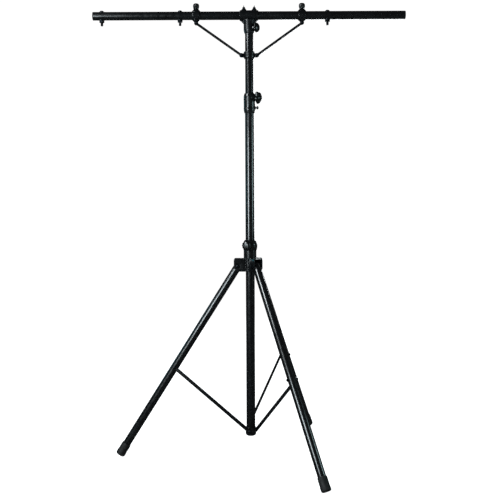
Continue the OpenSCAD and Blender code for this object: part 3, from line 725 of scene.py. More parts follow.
def bolt_head(solid, radius, height, place):
    """Adds a domed head with a hexagon socket."""
    dome = Solid().lathe([(0, 0), (radius, 0, 0.3), (radius, height * 0.35, 0.8),
                          (radius * 0.55, height, 1.2), (0, height)], HERE, 48)
    socket = Solid().plate(hexagon(radius * 0.38), shift(0, 0, height * 0.45), height, edge=0.05)
    return solid.add_mesh(dome.cut(socket).mesh(), place)


def hex_nut(solid, bolt_r, height, place):
    """Adds a nut with both faces chamfered to its corners."""
    across_corners = bolt_r * 1.9
    flat = across_corners * math.cos(math.pi / 6)
    drop = (across_corners - flat) * 0.6
    blank = Solid().plate(hexagon(across_corners), HERE, height, edge=0.1)
    lathe = Solid().turned([(0, 0), (flat, 0), (across_corners, drop),
                            (across_corners, height - drop), (flat, height), (0, height)], HERE, 48)
    blank.combined(lathe, "INTERSECT")
    bore = Solid().turned([(0, -1), (bolt_r + 0.9, -1), (bolt_r + 0.9, 0), (bolt_r + FIT, 0.85),
                           (bolt_r + FIT, height - 0.85), (bolt_r + 0.9, height),
                           (bolt_r + 0.9, height + 1), (0, height + 1)], HERE, 32)
    return solid.add_mesh(blank.cut(bore).mesh(), place)


def washer(solid, outer, inner, height, place):
    """Adds a flat washer."""
    return solid.turned(wall(outer, inner, 0, height, min(0.3, height * 0.3)), place, 40)


def threaded(solid, radius, pitch, start, end, place):
    """Adds a stretch of screw thread between two heights."""
    mesh = grown(tree_of(thread_tree), None, "steel", radius=radius * MM, pitch=pitch * MM,
                 length=(end - start) * MM)
    solid.add_mesh(mesh, place @ shift(0, 0, start))
    bpy.data.meshes.remove(mesh)
    return solid


def through_bolt(solid, radius, head_r, head_h, start, head_at, place, nut_h):
    """Adds a bolt from a nut end at start to a head at head_at, with thread under the nut."""
    threaded(solid, radius, radius * 0.33, start - 1, start + nut_h + 2, place)
    rod(solid, radius, start + nut_h + 1, head_at + 0.5, place)
    return bolt_head(solid, head_r, head_h, place @ shift(0, 0, head_at))


def knob(name, finish, body, nodes, place, outline, hollows, depth, sharpness, reach, bore=None):
    """Makes a moulded knob from a turned outline with finger hollows."""
    rim = max(point[0] for point in outline)
    blank = Solid().turned(outline, HERE, 180)
    mesh = grown(tree_of(flute_tree), blank.mesh(), finish, hollows=float(hollows), depth=depth,
                 sharpness=sharpness, rim=rim * MM, reach=reach * rim * MM)
    body_shape = Solid().take(mesh)
    if bore:
        body_shape.cut(Solid().turned([(0, -2), (bore[0], -2), (bore[0], bore[1]), (0, bore[1])], HERE, 32))
    shape = Solid()
    shape.add_mesh(body_shape.mesh(), place)
    return shape.finish(name, finish, body, *nodes, sharp=50)


def round_knob_outline(radius, height):
    """Section of a round knob with a domed face and a raised centre button."""
    return rounded([(0, 0), (radius * 0.8, 0, 1), (radius, height * 0.2, 2), (radius, height * 0.45, 3),
                    (radius * 0.82, height * 0.8, 5), (radius * 0.5, height * 0.95, 2),
                    (radius * 0.34, height * 0.95, 0.4), (radius * 0.3, height, 0.4), (0, height)],
                   closed=False)


def lobe_knob_outline(radius, height):
    """Section of the big lobed knob, widest low down and domed to its cap."""
    return rounded([(0, 0), (radius * 0.72, 0, 1.5), (radius, height * 0.18, 2.5),
                    (radius, height * 0.45, 4), (radius * 0.84, height * 0.72, 6),
                    (radius * 0.55, height * 0.9, 3), (radius * 0.36, height * 0.94, 0.8),
                    (radius * 0.33, height, 0.8), (0, height)], closed=False)


# ---------------------------------------------------------------- pieces


class STAND_OT_mast(bpy.types.Operator):
    """Outer and inner mast tubes, and the inner guide."""

    bl_idname = "stand.mast"
    bl_label = "Mast tubes"

    def execute(self, context):
        outer = Solid().turned(wall(MAST_R, MAST_R - MAST_WALL, MAST_LOW, MAST_TOP), segments=ROUND)
        plunger = JOINTS["plunger_pull"]
        plunger_z = (low("plunger_pin").z + high("plunger_pin").z) / 2
        plunger_az = azimuth(plunger["axis"])
        outer.drill(M6 + FIT, 0, MAST_R * 2, out_of_mast(plunger_az, plunger_z))
        outer.finish("outer_mast_tube_coated", "coat", "mast", "outer_mast_tube")

        inner = Solid().turned(wall(INNER_R, INNER_R - TUBE_WALL, low("inner_mast_tube").z,
                                    high("inner_mast_tube").z), segments=ROUND)
        lock_pitch = 150
        for k in range(7):
            inner.drill(M6 + PLAY, 0, MAST_R * 2, out_of_mast(plunger_az, plunger_z - k * lock_pitch))
        inner.finish("inner_mast_tube_coated", "rubbed", "inner_mast", "inner_mast_tube")

        guide_low, guide_top = low("inner_guide").z, high("inner_guide").z
        flange_top = low("inner_mast_tube").z
        guide_r = high("inner_guide").x
        plug_r = INNER_R - TUBE_WALL - 0.05
        Solid().turned(rounded([
            (INNER_R * 0.6, guide_low, 0.4), (guide_r, guide_low, 0.8), (guide_r, flange_top, 0.5),
            (plug_r, flange_top, 0.3), (plug_r, guide_top, 0.8), (INNER_R * 0.6, guide_top, 0.4)]),
            segments=64).finish("inner_guide_moulded", "plastic", "inner_mast", "inner_guide")
        return {"FINISHED"}


class STAND_OT_base(bpy.types.Operator):
    """Pressed cup on the mast's lower end and the three strut bolts."""

    bl_idname = "stand.base"
    bl_label = "Base cup"

    def execute(self, context):
        cup_low, cup_top = low("base_bracket").z, high("base_bracket").z
        cup_r = high("base_bracket").x
        flat_y = STRUT_SIDE - STRUT_THICK / 2 - 0.3
        cup = Solid().lathe([(0, cup_low), (cup_r * 0.55, cup_low, 5),
                             (cup_r * 0.86, cup_low * 0.7 + MAST_LOW * 0.3, 5), (cup_r, MAST_LOW, 6),
                             (cup_r, cup_top, 1.5), (0, cup_top)], segments=ROUND)
        for name in LEGS:
            flat = Solid().plate([(-60, -40), (60, -40), (60, 40), (-60, 40)],
                                 turn(LEG_AZIMUTH[name], "Z") @ shift(0, flat_y + 30, STRUT_FOOT.z + 28)
                                 @ turn(90, "X"), 30, edge=0.01)
            cup.cut(flat)
        cup.fused()
        cup.cut(Solid().turned([(0, MAST_LOW), (MAST_R + FIT, MAST_LOW), (MAST_R + FIT, cup_top + 5),
                                (0, cup_top + 5)], segments=ROUND))
        cup.finish("base_cup", "coat", "mast", "base_bracket")

        bolts = Solid()
        head_y = STRUT_SIDE + STRUT_THICK / 2 + 0.3
        for name in LEGS:
            place = across(turn(LEG_AZIMUTH[name], "Z") @ shift(-BASE_X, 0, STRUT_FOOT.z))
            rod(bolts, M6, 12, head_y + 0.5, place)
            bolt_head(bolts, *M6_HEAD, place @ shift(0, 0, head_y))
        bolts.finish("base_bolts_socket", "steel", "mast", "base_bolts")
        return {"FINISHED"}


class STAND_OT_mast_collar(bpy.types.Operator):
    """Moulded collar on the outer mast tube with the bosses for its knob and plunger."""

    bl_idname = "stand.mast_collar"
    bl_label = "Mast collar"

    def execute(self, context):
        start, end = low("mast_collar").z, high("mast_collar").z
        radius = -low("mast_collar").x
        knob_az, knob_z = azimuth(JOINTS["mast_knob_turn"]["axis"]), pivot("mast_knob_turn").z
        plunger_z = (low("plunger_pin").z + high("plunger_pin").z) / 2
        collar = Solid().lathe([(0, start), (MAST_R + 2.2, start, 1), (radius - 0.4, start + 10, 4),
                                (radius, end - 12, 5), (radius - 2.4, end - 2, 3), (INNER_R + 3, end, 1),
                                (0, end)], segments=ROUND)
        for height in (start + 16, end - 26):
            collar.turned(wall(radius + 0.3, radius - 3, height, height + 3, 0.8), segments=ROUND)
        collar.lathe([(0, 0), (19, 0), (17, 17), (11.5, 25.4, 1.5), (0, 25.4)],
                     out_of_mast(knob_az, knob_z), 56)
        collar.lathe([(0, 0), (13, 0), (12, 18), (7, 23.9, 1.2), (0, 23.9)],
                     out_of_mast(knob_az, plunger_z), 48)
        collar.fused()
        collar.cut(Solid().turned([(0, start - 5), (MAST_R + FIT, start - 5), (MAST_R + FIT, MAST_TOP),
                                   (INNER_R + 0.08, MAST_TOP), (INNER_R + 0.08, end + 5), (0, end + 5)],
                                  segments=ROUND))
        collar.drill(M8 + FIT, 0, 40, out_of_mast(knob_az, knob_z))
        collar.drill(M6 + FIT, 0, 40, out_of_mast(knob_az, plunger_z))
        collar.finish("mast_collar_moulded", "plastic", "mast", "mast_collar")
        return {"FINISHED"}


class STAND_OT_plunger(bpy.types.Operator):
    """Locking pin and its small pull knob."""

    bl_idname = "stand.plunger"
    bl_label = "Locking plunger"

    def execute(self, context):
        axis = azimuth(JOINTS["plunger_pull"]["axis"])
        height = (low("plunger_pin").z + high("plunger_pin").z) / 2
        place = out_of_mast(axis, height)
        rod(Solid(), M6, 16.2, 34, place, edge=0.8).finish("plunger_pin_turned", "steel", "plunger",
                                                           "plunger_pin")
        radius, start = 6.5, 29.3
        knob("plunger_pull_knob", "plastic", "plunger", ["plunger_knob"], place @ shift(0, 0, start),
             rounded([(0, 0), (radius * 0.7, 0, 0.6), (radius, 2.1, 1), (radius, 4.9, 1),
                      (radius * 0.6, 7, 0.8), (0, 7)], closed=False), 16, 0.06, 2.0, 0.8, bore=(M6, 4.7))
        return {"FINISHED"}


class STAND_OT_clamp_knobs(bpy.types.Operator):
    """Lobed mast knob, round hub and adapter knobs, and the clamp knobs on the T-bar."""

    bl_idname = "stand.clamp_knobs"
    bl_label = "Knobs and screws"

    def execute(self, context):
        sizes = context.scene.stand_sizes
        for joint, body, nodes, radius, height, lobed in (
                ("mast_knob_turn", "mast_knob", ["mast_knob"], 24.5, 22, True),
                ("hub_knob_turn", "hub_knob", ["hub_knob"], 18.5, 15, False),
                ("adapter_knob_turn", "adapter_knob", ["adapter_knob"], 18.5, 15, False)):
            place = knob_place(joint)
            outline = lobe_knob_outline(radius, height) if lobed else round_knob_outline(radius, height)
            hollows, depth, sharpness, reach = ((sizes.lobe_count, 0.3, 1.1, 0.42) if lobed
                                                else (sizes.grip_hollows, 0.08, 3.0, 0.72))
            knob(body + "_grip", "plastic", body, nodes, place, outline, hollows, depth, sharpness,
                 reach, bore=(M8, height * 0.6))
            screw = body + "_screw"
            tip = flat_distance(pivot(joint)) - (MAST_R if body == "hub_knob" else INNER_R) - 0.3
            stud = Solid()
            threaded(stud, M8, M8_PITCH, -tip + 1.5, -0.5, place)
            rod(stud, M8 - 0.9, -tip, 0, place, edge=0.6)
            rod(stud, M8 - 0.1, -1, height * 0.6, place)
            stud.finish(screw + "_threaded", "steel", body, screw)
        for side in SIDES:
            body = "clamp_knob_" + side
            place = shift(pivot(body + "_turn").x, 0, BAR_Z + BAR_R + 9)
            outline = rounded([(0, 0), (10.3, 0, 0.8), (10.3, 3.4, 0.6), (11.9, 6.5, 1.5), (11.9, 15.5, 4),
                               (9.2, 20.2, 4), (4, 21.9, 3), (0, 22)], closed=False)
            knob(body + "_grip", "plastic", body, [body], place, outline, sizes.grip_hollows,
                 0.08, 3.0, 0.75)
            stud = Solid()
            threaded(stud, M8, M8_PITCH, 0, 8, shift(pivot(body + "_turn").x, 0, BAR_Z + BAR_R + 0.9))
            stud.finish(body + "_stud", "steel", body)
        return {"FINISHED"}


class STAND_OT_t_adapter(bpy.types.Operator):
    """Welded T-adapter: cross sleeve, upright sleeve, gussets and three clamp bosses."""

    bl_idname = "stand.t_adapter"
    bl_label = "T-adapter"

    def execute(self, context):
        sleeve_half = high("t_adapter").x
        sleeve_low = low("t_adapter").z
        sleeve_r = BAR_R + PLAY + 3.9
        upright_r = INNER_R + PLAY + 4.8
        boss_top = BAR_Z + sleeve_r + 5
        knob_az, knob_z = azimuth(JOINTS["adapter_knob_turn"]["axis"]), pivot("adapter_knob_turn").z
        body = Solid()
        body.lathe([(0, 0), (sleeve_r, 0, 1.2), (sleeve_r, sleeve_half * 2, 1.2), (0, sleeve_half * 2)],
                   bar_place(-sleeve_half), ROUND)
        body.lathe([(0, sleeve_low), (upright_r - 3, sleeve_low, 1), (upright_r, sleeve_low + 11, 4),
                    (upright_r, BAR_Z - sleeve_r * 0.8, 1), (0, BAR_Z - sleeve_r * 0.8)], HERE, ROUND)
        gusset_top = BAR_Z - sleeve_r + 3
        body.plate([(-sleeve_half + 1, gusset_top), (sleeve_half - 1, gusset_top),
                    (upright_r - 2, gusset_top - 17), (2 - upright_r, gusset_top - 17)],
                   shift(0, 4, 0) @ turn(90, "X"), 8, edge=0.8)
        rod(body, 9, 0, 24.8, out_of_mast(knob_az, knob_z), 48, 1)
        for side in SIDES:
            x = pivot("wing_bolt_" + side + "_turn").x
            body.lathe([(0, 0), (13, 0, 1), (7.6, boss_top - BAR_Z - BAR_R, 1.5),
                        (0, boss_top - BAR_Z - BAR_R)], shift(x, 0, BAR_Z + BAR_R), 48)
        body.fused(1.06, 5)
        body.drill(BAR_R + PLAY, -60, 60, bar_place(0), ROUND)
        body.drill(INNER_R + PLAY, sleeve_low - 5, BAR_Z - sleeve_r + 0.3, HERE, ROUND, 0.01)
        body.drill(M8 + FIT, 0, 40, out_of_mast(knob_az, knob_z))
        for side in SIDES:
            x = pivot("wing_bolt_" + side + "_turn").x
            body.drill(M8 + FIT, 0, 40, shift(x, 0, BAR_Z))
        body.finish("t_adapter_welded", "coat", "head", "t_adapter")

        line = []
        for k in range(ROUND + 1):
            angle = 2 * math.pi * k / ROUND
            y = max(-0.61 * sleeve_r, min(0.61 * sleeve_r, upright_r * math.sin(angle)))
            line.append(Vector((upright_r * math.cos(angle), y, BAR_Z - math.sqrt(sleeve_r ** 2 - y ** 2))))
        beads([line], "t_adapter_weld", "head", 1.13, 3)
        return {"FINISHED"}


def beads(lines, name, body, wider, seed):
    """Makes weld beads along lines of points in millimetres."""
    width = bpy.context.scene.stand_sizes.weld_width * wider
    bm = bmesh.new()
    for line in lines:
        verts = [bm.verts.new(point * MM) for point in line]
        for start, end in zip(verts, verts[1:]):
            bm.edges.new((start, end))
    path = bpy.data.meshes.new("weld line")
    bm.to_mesh(path)
    bm.free()
    mesh = grown(tree_of(weld_tree), path, "coat", width=width, spacing=width / 2, seed=seed)
    return finished(name, mesh, "coat", body, sharp=70)


class STAND_OT_wing_bolts(bpy.types.Operator):
    """Wing bolts that lock the two arms in the cross sleeve."""

    bl_idname = "stand.wing_bolts"
    bl_label = "Wing bolts"

    def execute(self, context):
        for side in SIDES:
            body = "wing_bolt_" + side
            x = pivot(body + "_turn").x
            base = high("t_adapter").z + 0.5
            top = high(body).z
            span = high(body).y
            rise = top - base
            bolt = Solid()
            bolt.lathe([(0, 0), (6, 0, 0.5), (6, rise * 0.3, 1.5), (4, rise * 0.6, 1), (0, rise * 0.62)],
                       shift(x, 0, base), 48)
            half = [(0, 0.5), (4, 0, 1.5), (span - 2.5, rise * 0.42, 3), (span - 0.1, rise * 0.72, 2.4),
                    (span - 1.4, rise, 2), (span - 5.5, rise * 0.92, 2.5), (4.8, rise * 0.55, 3),
                    (0, rise * 0.5)]
            mirrored = [(-corner[0], *corner[1:]) for corner in reversed(half[1:-1])]
            bolt.plate(rounded(half + mirrored), shift(x - 1.5, 0, base) @ turn(90, "Z")
                       @ turn(90, "X"), 3, edge=1.0)
            bolt.fused(0.63, 5)
            shaft = Solid().add_mesh(bolt.mesh())
            threaded(shaft, M8, M8_PITCH, BAR_R + 0.9, base - BAR_Z + 0.3, shift(x, 0, BAR_Z))
            rod(shaft, M8 - 0.9, BAR_R + 0.35, BAR_R + 2, shift(x, 0, BAR_Z))
            shaft.finish(body + "_cast", "steel", body, body)
        return {"FINISHED"}


class STAND_OT_arms(bpy.types.Operator):
    """The two halves of the T-bar with their rubber end caps."""

    bl_idname = "stand.arms"
    bl_label = "T-bar arms"

    def execute(self, context):
        for side, sign in SIDES.items():
            length = ARM_OUTER - ARM_INNER
            arm = Solid().turned(wall(BAR_R, BAR_R - TUBE_WALL, 0, length),
                                 bar_place(sign * ARM_INNER, sign), ROUND)
            for x in fixture_bolts(side):
                arm.drill(M10 + FIT, -30, 30, shift(x, 0, BAR_Z))
            arm.finish("arm_" + side + "_coated", "coat", "arm_" + side, "arm_" + side)
            bore = BAR_R - TUBE_WALL - 0.05
            cap = Solid().lathe([(0, -15), (bore - 0.9, -15, 0.4), (bore, -13.8, 0.4), (bore, 0.02),
                                 (BAR_R, 0.02, 0.2), (BAR_R, 3, 1.6), (BAR_R - 4, 3, 0.8),
                                 (BAR_R - 4.8, 2.2, 0.6), (0, 2.2)], bar_place(sign * ARM_OUTER, sign),
                                ROUND)
            cap.finish("end_cap_" + side + "_moulded", "rubber", "arm_" + side, "end_cap_" + side)
        return {"FINISHED"}


def fixture_bolts(side):
    """Where the fixture bolts stand along an arm."""
    if side == "right":
        return [(high("fixture_bolt_right").x + low("fixture_bolt_right").x) / 2]
    return [low("fixture_bolts_left").x + 9, high("fixture_bolts_left").x - 9]


class STAND_OT_fixture_bolts(bpy.types.Operator):
    """M10 bolts down through the arms, each with a saddle head, washer and nut."""

    bl_idname = "stand.fixture_bolts"
    bl_label = "Fixture bolts"

    def execute(self, context):
        for side in SIDES:
            bolts, nuts = Solid(), Solid()
            for x in fixture_bolts(side):
                place = shift(x, 0, BAR_Z)
                tip = low("fixture_bolt_right").z - BAR_Z
                threaded(bolts, M10, 1.5, tip + 1.1, -BAR_R - 1, place)
                rod(bolts, M10 - 1, tip, tip + 3, place, edge=0.8)
                rod(bolts, M10 - 0.1, -BAR_R - 2, BAR_R + 2, place)
                head = Solid().lathe([(0, BAR_R - 2.8), (9, BAR_R - 2.8, 0.2), (9, BAR_R + 0.4, 0.8),
                                      (5.6, BAR_R + 4, 1.5), (0, BAR_R + 4)], place, 56)
                head.drill(BAR_R + FIT, -20, 20, bar_place(x), 128)
                bolts.add_mesh(head.mesh())
                saddle = Solid().turned(wall(10, M10 + FIT, -BAR_R - 2, -BAR_R + 2, 0.4), place, 56)
                saddle.drill(BAR_R + FIT, -20, 20, bar_place(x), 128)
                nuts.add_mesh(saddle.mesh())
                hex_nut(nuts, M10, 6.9, place @ shift(0, 0, -BAR_R - 9))
            many = "s" if side == "left" else ""
            bolts.finish("fixture_bolt_" + side + "_threaded", "steel", "arm_" + side,
                         "fixture_bolt" + many + "_" + side)
            nuts.finish("fixture_nut_" + side + "_chamfered", "steel", "arm_" + side,
                        "fixture_nut" + many + "_" + side)
        return {"FINISHED"}


class STAND_OT_clamps(bpy.types.Operator):
    """Clamps on the T-bar that hold the upper ends of the braces."""

    bl_idname = "stand.clamps"
    bl_label = "Brace clamps"

    def execute(self, context):
        drop = BAR_Z - pivot("brace_left_swing").z
        for side in SIDES:
            x = pivot("brace_" + side + "_swing").x
            ring_r = BAR_R + 3.9
            clamp = Solid()
            clamp.lathe([(0, -13), (ring_r, -13, 1), (ring_r, 13, 1), (0, 13)], bar_place(x), ROUND)
            clamp.lathe([(0, 14), (18.4, 14), (9.6, 24, 1.5), (0, 24)], shift(x, 0, BAR_Z), 64)
            clamp.lathe([(0, -22.9), (9, -22.9, 1), (16.6, -15), (0, -14)], shift(x, 0, BAR_Z), 64)
            clamp.plate(rounded([(-7.5, drop - 17), (-7.5, -7.5, 7.4), (7.5, -7.5, 7.4), (7.5, drop - 17)]),
                        shift(x, 2, BAR_Z - drop) @ turn(90, "X"), 4, edge=0.5)
            clamp.fused(0.94)
            clamp.drill(BAR_R + PLAY, -40, 40, bar_place(x), ROUND)
            clamp.drill(M8 + FIT, 0, 40, shift(x, 0, BAR_Z))
            clamp.drill(M6 + FIT, -20, 20, across(shift(x, 0, BAR_Z - drop)))
            clamp.finish("clamp_" + side + "_cast", "coat", "clamp_" + side, "clamp_" + side)
            bolt = brace_bolt(Solid(), shift(x, 0, BAR_Z - drop))
            bolt.finish("clamp_bolt_" + side + "_socket", "steel", "clamp_" + side, "clamp_bolt_" + side)
        return {"FINISHED"}


def brace_bolt(solid, place):
    """Adds the bolt, washer and nut that hold a brace against its ear."""
    ear = 2
    head_y = low("brace_left").y - 0.3
    turned_place = across(place)
    threaded(solid, M6, 1.0, ear + 0.5, ear + 6, turned_place)
    rod(solid, M6, head_y, ear + 1, turned_place)
    washer(solid, 8, M6 + FIT, 1, turned_place @ shift(0, 0, head_y - 1))
    bolt_head(solid, *M6_HEAD, turned_place @ shift(0, 0, head_y - 1) @ turn(180, "X"))
    return hex_nut(solid, M6, NUT_HIGH, turned_place @ shift(0, 0, ear))


class STAND_OT_braces(bpy.types.Operator):
    """Flat braces with drilled round ends, the collar that they meet on, and its bolts."""

    bl_idname = "stand.braces"
    bl_label = "Braces and collar"

    def execute(self, context):
        collar_z = (low("brace_collar").z + high("brace_collar").z) / 2
        collar_x = 30
        for side, sign in SIDES.items():
            head = pivot("brace_" + side + "_swing")
            run, fall = abs(head.x) - collar_x, head.z - collar_z
            length = math.hypot(run, fall)
            lean = math.degrees(math.atan2(fall, run))
            thick = high("brace_left").y - low("brace_left").y
            place = (shift(head.x, high("brace_left").y, head.z)
                     @ turn(lean if sign < 0 else 180 - lean, "Y") @ turn(90, "X"))
            outline = brace_outline(length, 6.5, 8.5, 4.75)
            brace = Solid().plate(outline, place, thick, [disc(M6 + FIT), disc(5.3, length)], edge=0.6)
            brace.finish("brace_" + side + "_flat", "coat", "brace_" + side, "brace_" + side)

        collar_r = INNER_R + 5.1
        half = 14
        collar = Solid()
        collar.lathe([(0, collar_z - half), (collar_r - 2.6, collar_z - half, 1),
                      (collar_r, collar_z - half + 5, 2), (collar_r, collar_z + half, 1.5),
                      (0, collar_z + half)], segments=ROUND)
        ear = slot_shape(collar_x * 2, 8)
        collar.plate(ear, shift(-collar_x, 2, collar_z) @ turn(90, "X"), 4, edge=0.6)
        collar.fused(0.94)
        for sign in SIDES.values():
            recess = Solid().turned([(0, -12), (10.5, -12), (10.5, -2), (0, -2)],
                                    across(shift(sign * collar_x, 0, collar_z)), 64)
            collar.cut(recess)
            collar.drill(M6 + FIT, -20, 20, across(shift(sign * collar_x, 0, collar_z)))
        collar.drill(INNER_R + PLAY, collar_z - 40, collar_z + 40, HERE, ROUND)
        collar.finish("brace_collar_cast", "coat", "brace_collar", "brace_collar")
        bolts = Solid()
        for sign in SIDES.values():
            brace_bolt(bolts, shift(sign * collar_x, 0, collar_z))
        bolts.finish("brace_collar_bolts_socket", "steel", "brace_collar", "brace_collar_bolts")
        return {"FINISHED"}


def brace_outline(length, small, large, half_width):
    """Outline of a flat bar with a round eye of its own size at each end."""
    points = 24
    open_small = math.asin(half_width / small)
    open_large = math.asin(half_width / large)
    outline = []
    for k in range(points + 1):
        angle = open_small + (2 * math.pi - 2 * open_small) * k / points
        outline.append((small * math.cos(angle), small * math.sin(angle)))
    for k in range(points + 1):
        angle = math.pi + open_large + (2 * math.pi - 2 * open_large) * k / points
        outline.append((length + large * math.cos(angle), large * math.sin(angle)))
    return outline


def sleeve_x(name, y, bury=0.0):
    """How far out the hub's sleeve reaches beside a leg's centre line, less what is buried in it."""
    away = math.radians(LEG_AZIMUTH["front"] + 180 - LEG_AZIMUTH[name])
    reach = []
    for centre, radius in ((Vector((0, 0)), HUB_R),
                           (Vector((math.cos(away), math.sin(away))) * HUB_BULGE, HUB_R - 1.4)):
        rest = (radius - bury) ** 2 - (y - centre.y) ** 2
        reach.append(centre.x + math.sqrt(max(rest, 0)))
    return max(reach)


def hub_bore(start, end):
    """The hub's bore, stretched away from the front leg by its play."""
    front = turn(LEG_AZIMUTH["front"], "Z")
    radius = MAST_R + 0.35
    outline = slot_shape(HUB_PLAY, radius, 40)
    return Solid().plate(outline, front @ shift(-HUB_PLAY, 0, start), end - start, edge=0.01)


class STAND_OT_hub(bpy.types.Operator):
    """Hub sleeve with three folded leg brackets, weld beads, pivot bolts and nuts."""

    bl_idname = "stand.hub"
    bl_label = "Hub"

    def execute(self, context):
        front = turn(LEG_AZIMUTH["front"], "Z")
        sleeve = Solid()
        for place, radius in ((HERE, HUB_R), (front @ shift(-HUB_BULGE), HUB_R - 1.4)):
            sleeve.lathe([(0, HUB_LOW), (radius, HUB_LOW, 1.2), (radius, HUB_TOP), (0, HUB_TOP)],
                         place, ROUND)
        sleeve.fused(1.12)
        sleeve.cut(hub_bore(HUB_LOW - 5, HUB_TOP + 5))
        sleeve.finish("hub_sleeve", "coat", "hub", "hub_frame")

        brackets = Solid()
        lines = []
        top = PIVOT_Z + BRACKET_ABOVE
        plate_end = BRACKET_REACH - 6.5
        for name in LEGS:
            inner = CHEEKS[name]
            place = turn(LEG_AZIMUTH[name], "Z")
            for edge_y, way in ((inner[0], -1), (inner[1], 1)):
                outer_y = edge_y + way * BRACKET_PLATE
                root = sleeve_x(name, edge_y, HUB_BURY)
                outline = rounded([(root, HUB_LOW), (BRACKET_REACH - 14, HUB_LOW, 6),
                                   (BRACKET_REACH, HUB_LOW + 14, 8), (BRACKET_REACH, top, 7), (root, top)])
                brackets.plate(outline, place @ shift(0, max(edge_y, outer_y), 0) @ turn(90, "X"),
                               BRACKET_PLATE, [disc(M8 + FIT, PIVOT_R, PIVOT_Z)], edge=0.5)
                foot_x = sleeve_x(name, outer_y)
                lines.append([place @ Vector((foot_x, outer_y, HUB_LOW + 1 + 2 * k)) for k in range(25)])
            left_y, right_y = inner[0] - BRACKET_PLATE, inner[1] + BRACKET_PLATE
            steps = [left_y + (right_y - left_y) * k / 24 for k in range(25)]
            back = [(sleeve_x(name, y, HUB_BURY), y) for y in reversed(steps)]
            brackets.plate(rounded([(plate_end, left_y, 3), (plate_end, right_y, 3)] + back),
                           place @ shift(0, 0, top - BRACKET_PLATE), BRACKET_PLATE, edge=0.5)
            lines.append([place @ Vector((sleeve_x(name, y), y, top)) for y in steps])
        brackets.finish("hub_brackets", "coat", "hub")
        beads(lines, "hub_welds", "hub", 1.0, 11)

        bolts, nuts = Solid(), Solid()
        for name in LEGS:
            place = across(turn(LEG_AZIMUTH[name], "Z") @ shift(PIVOT_R, 0, PIVOT_Z))
            start, end = CHEEKS[name][0] - BRACKET_PLATE, CHEEKS[name][1] + BRACKET_PLATE
            through_bolt(bolts, M8, 7.5, 4, start - NUT_HIGH, end, place, NUT_HIGH)
            hex_nut(nuts, M8, NUT_HIGH, place @ shift(0, 0, start - NUT_HIGH))
        bolts.finish("hub_pivot_bolts_socket", "steel", "hub", "hub_pivot_bolts")
        nuts.finish("hub_pivot_nuts_chamfered", "steel", "hub", "hub_pivot_nuts")
        return {"FINISHED"}


class STAND_OT_hub_collar(bpy.types.Operator):
    """Rounded moulded collar on top of the hub with the boss for its knob."""

    bl_idname = "stand.hub_collar"
    bl_label = "Hub collar"

    def execute(self, context):
        start, end = low("hub_collar").z, high("hub_collar").z
        radius = high("hub_collar").x
        rise = end - start
        knob_az, knob_z = azimuth(JOINTS["hub_knob_turn"]["axis"]), pivot("hub_knob_turn").z
        collar = Solid().lathe([(0, start), (radius - 2.6, start, 1), (radius, start + rise * 0.3, 8),
                                (radius, start + rise * 0.6, 9), (radius - 4.6, start + rise * 0.9, 6),
                                (radius - 8.6, end, 1.2), (0, end)], segments=ROUND)
        rod(collar, 10, 0, 30.9, out_of_mast(knob_az, knob_z), 48, 1)
        collar.fused()
        collar.cut(hub_bore(start - 5, end + 5))
        collar.drill(M8 + FIT, 0, 45, out_of_mast(knob_az, knob_z))
        collar.finish("hub_collar_moulded", "plastic", "hub", "hub_collar")
        return {"FINISHED"}


class STAND_OT_struts(bpy.types.Operator):
    """Flat struts between the mast's base and the legs."""

    bl_idname = "stand.struts"
    bl_label = "Struts"

    def execute(self, context):
        for name in LEGS:
            place = strut_place(name) @ turn(-90, "Y") @ turn(-90, "X")
            strut = Solid().plate(slot_shape(STRUT_LENGTH, 7), place, STRUT_THICK,
                                  [disc(M6 + FIT), disc(M6 + FIT, STRUT_LENGTH)], edge=0.7)
            strut.finish("strut_" + name + "_flat", "coat", "strut_" + name, "strut_" + name)
        return {"FINISHED"}


def leg_pivot_cut(name):
    """The pivot hole across a leg's top; the two legs that drift have a long one."""
    if name == "front":
        return rod(Solid(), M8 + FIT, -40, 40, across(leg_place(name)))
    slot = slot_shape(LEG_DRIFT, 5.2)
    place = leg_place(name) @ turn(17, "Y") @ shift(0, 40, 0) @ turn(90, "X")
    return Solid().plate(slot, place, 80, edge=0.01)


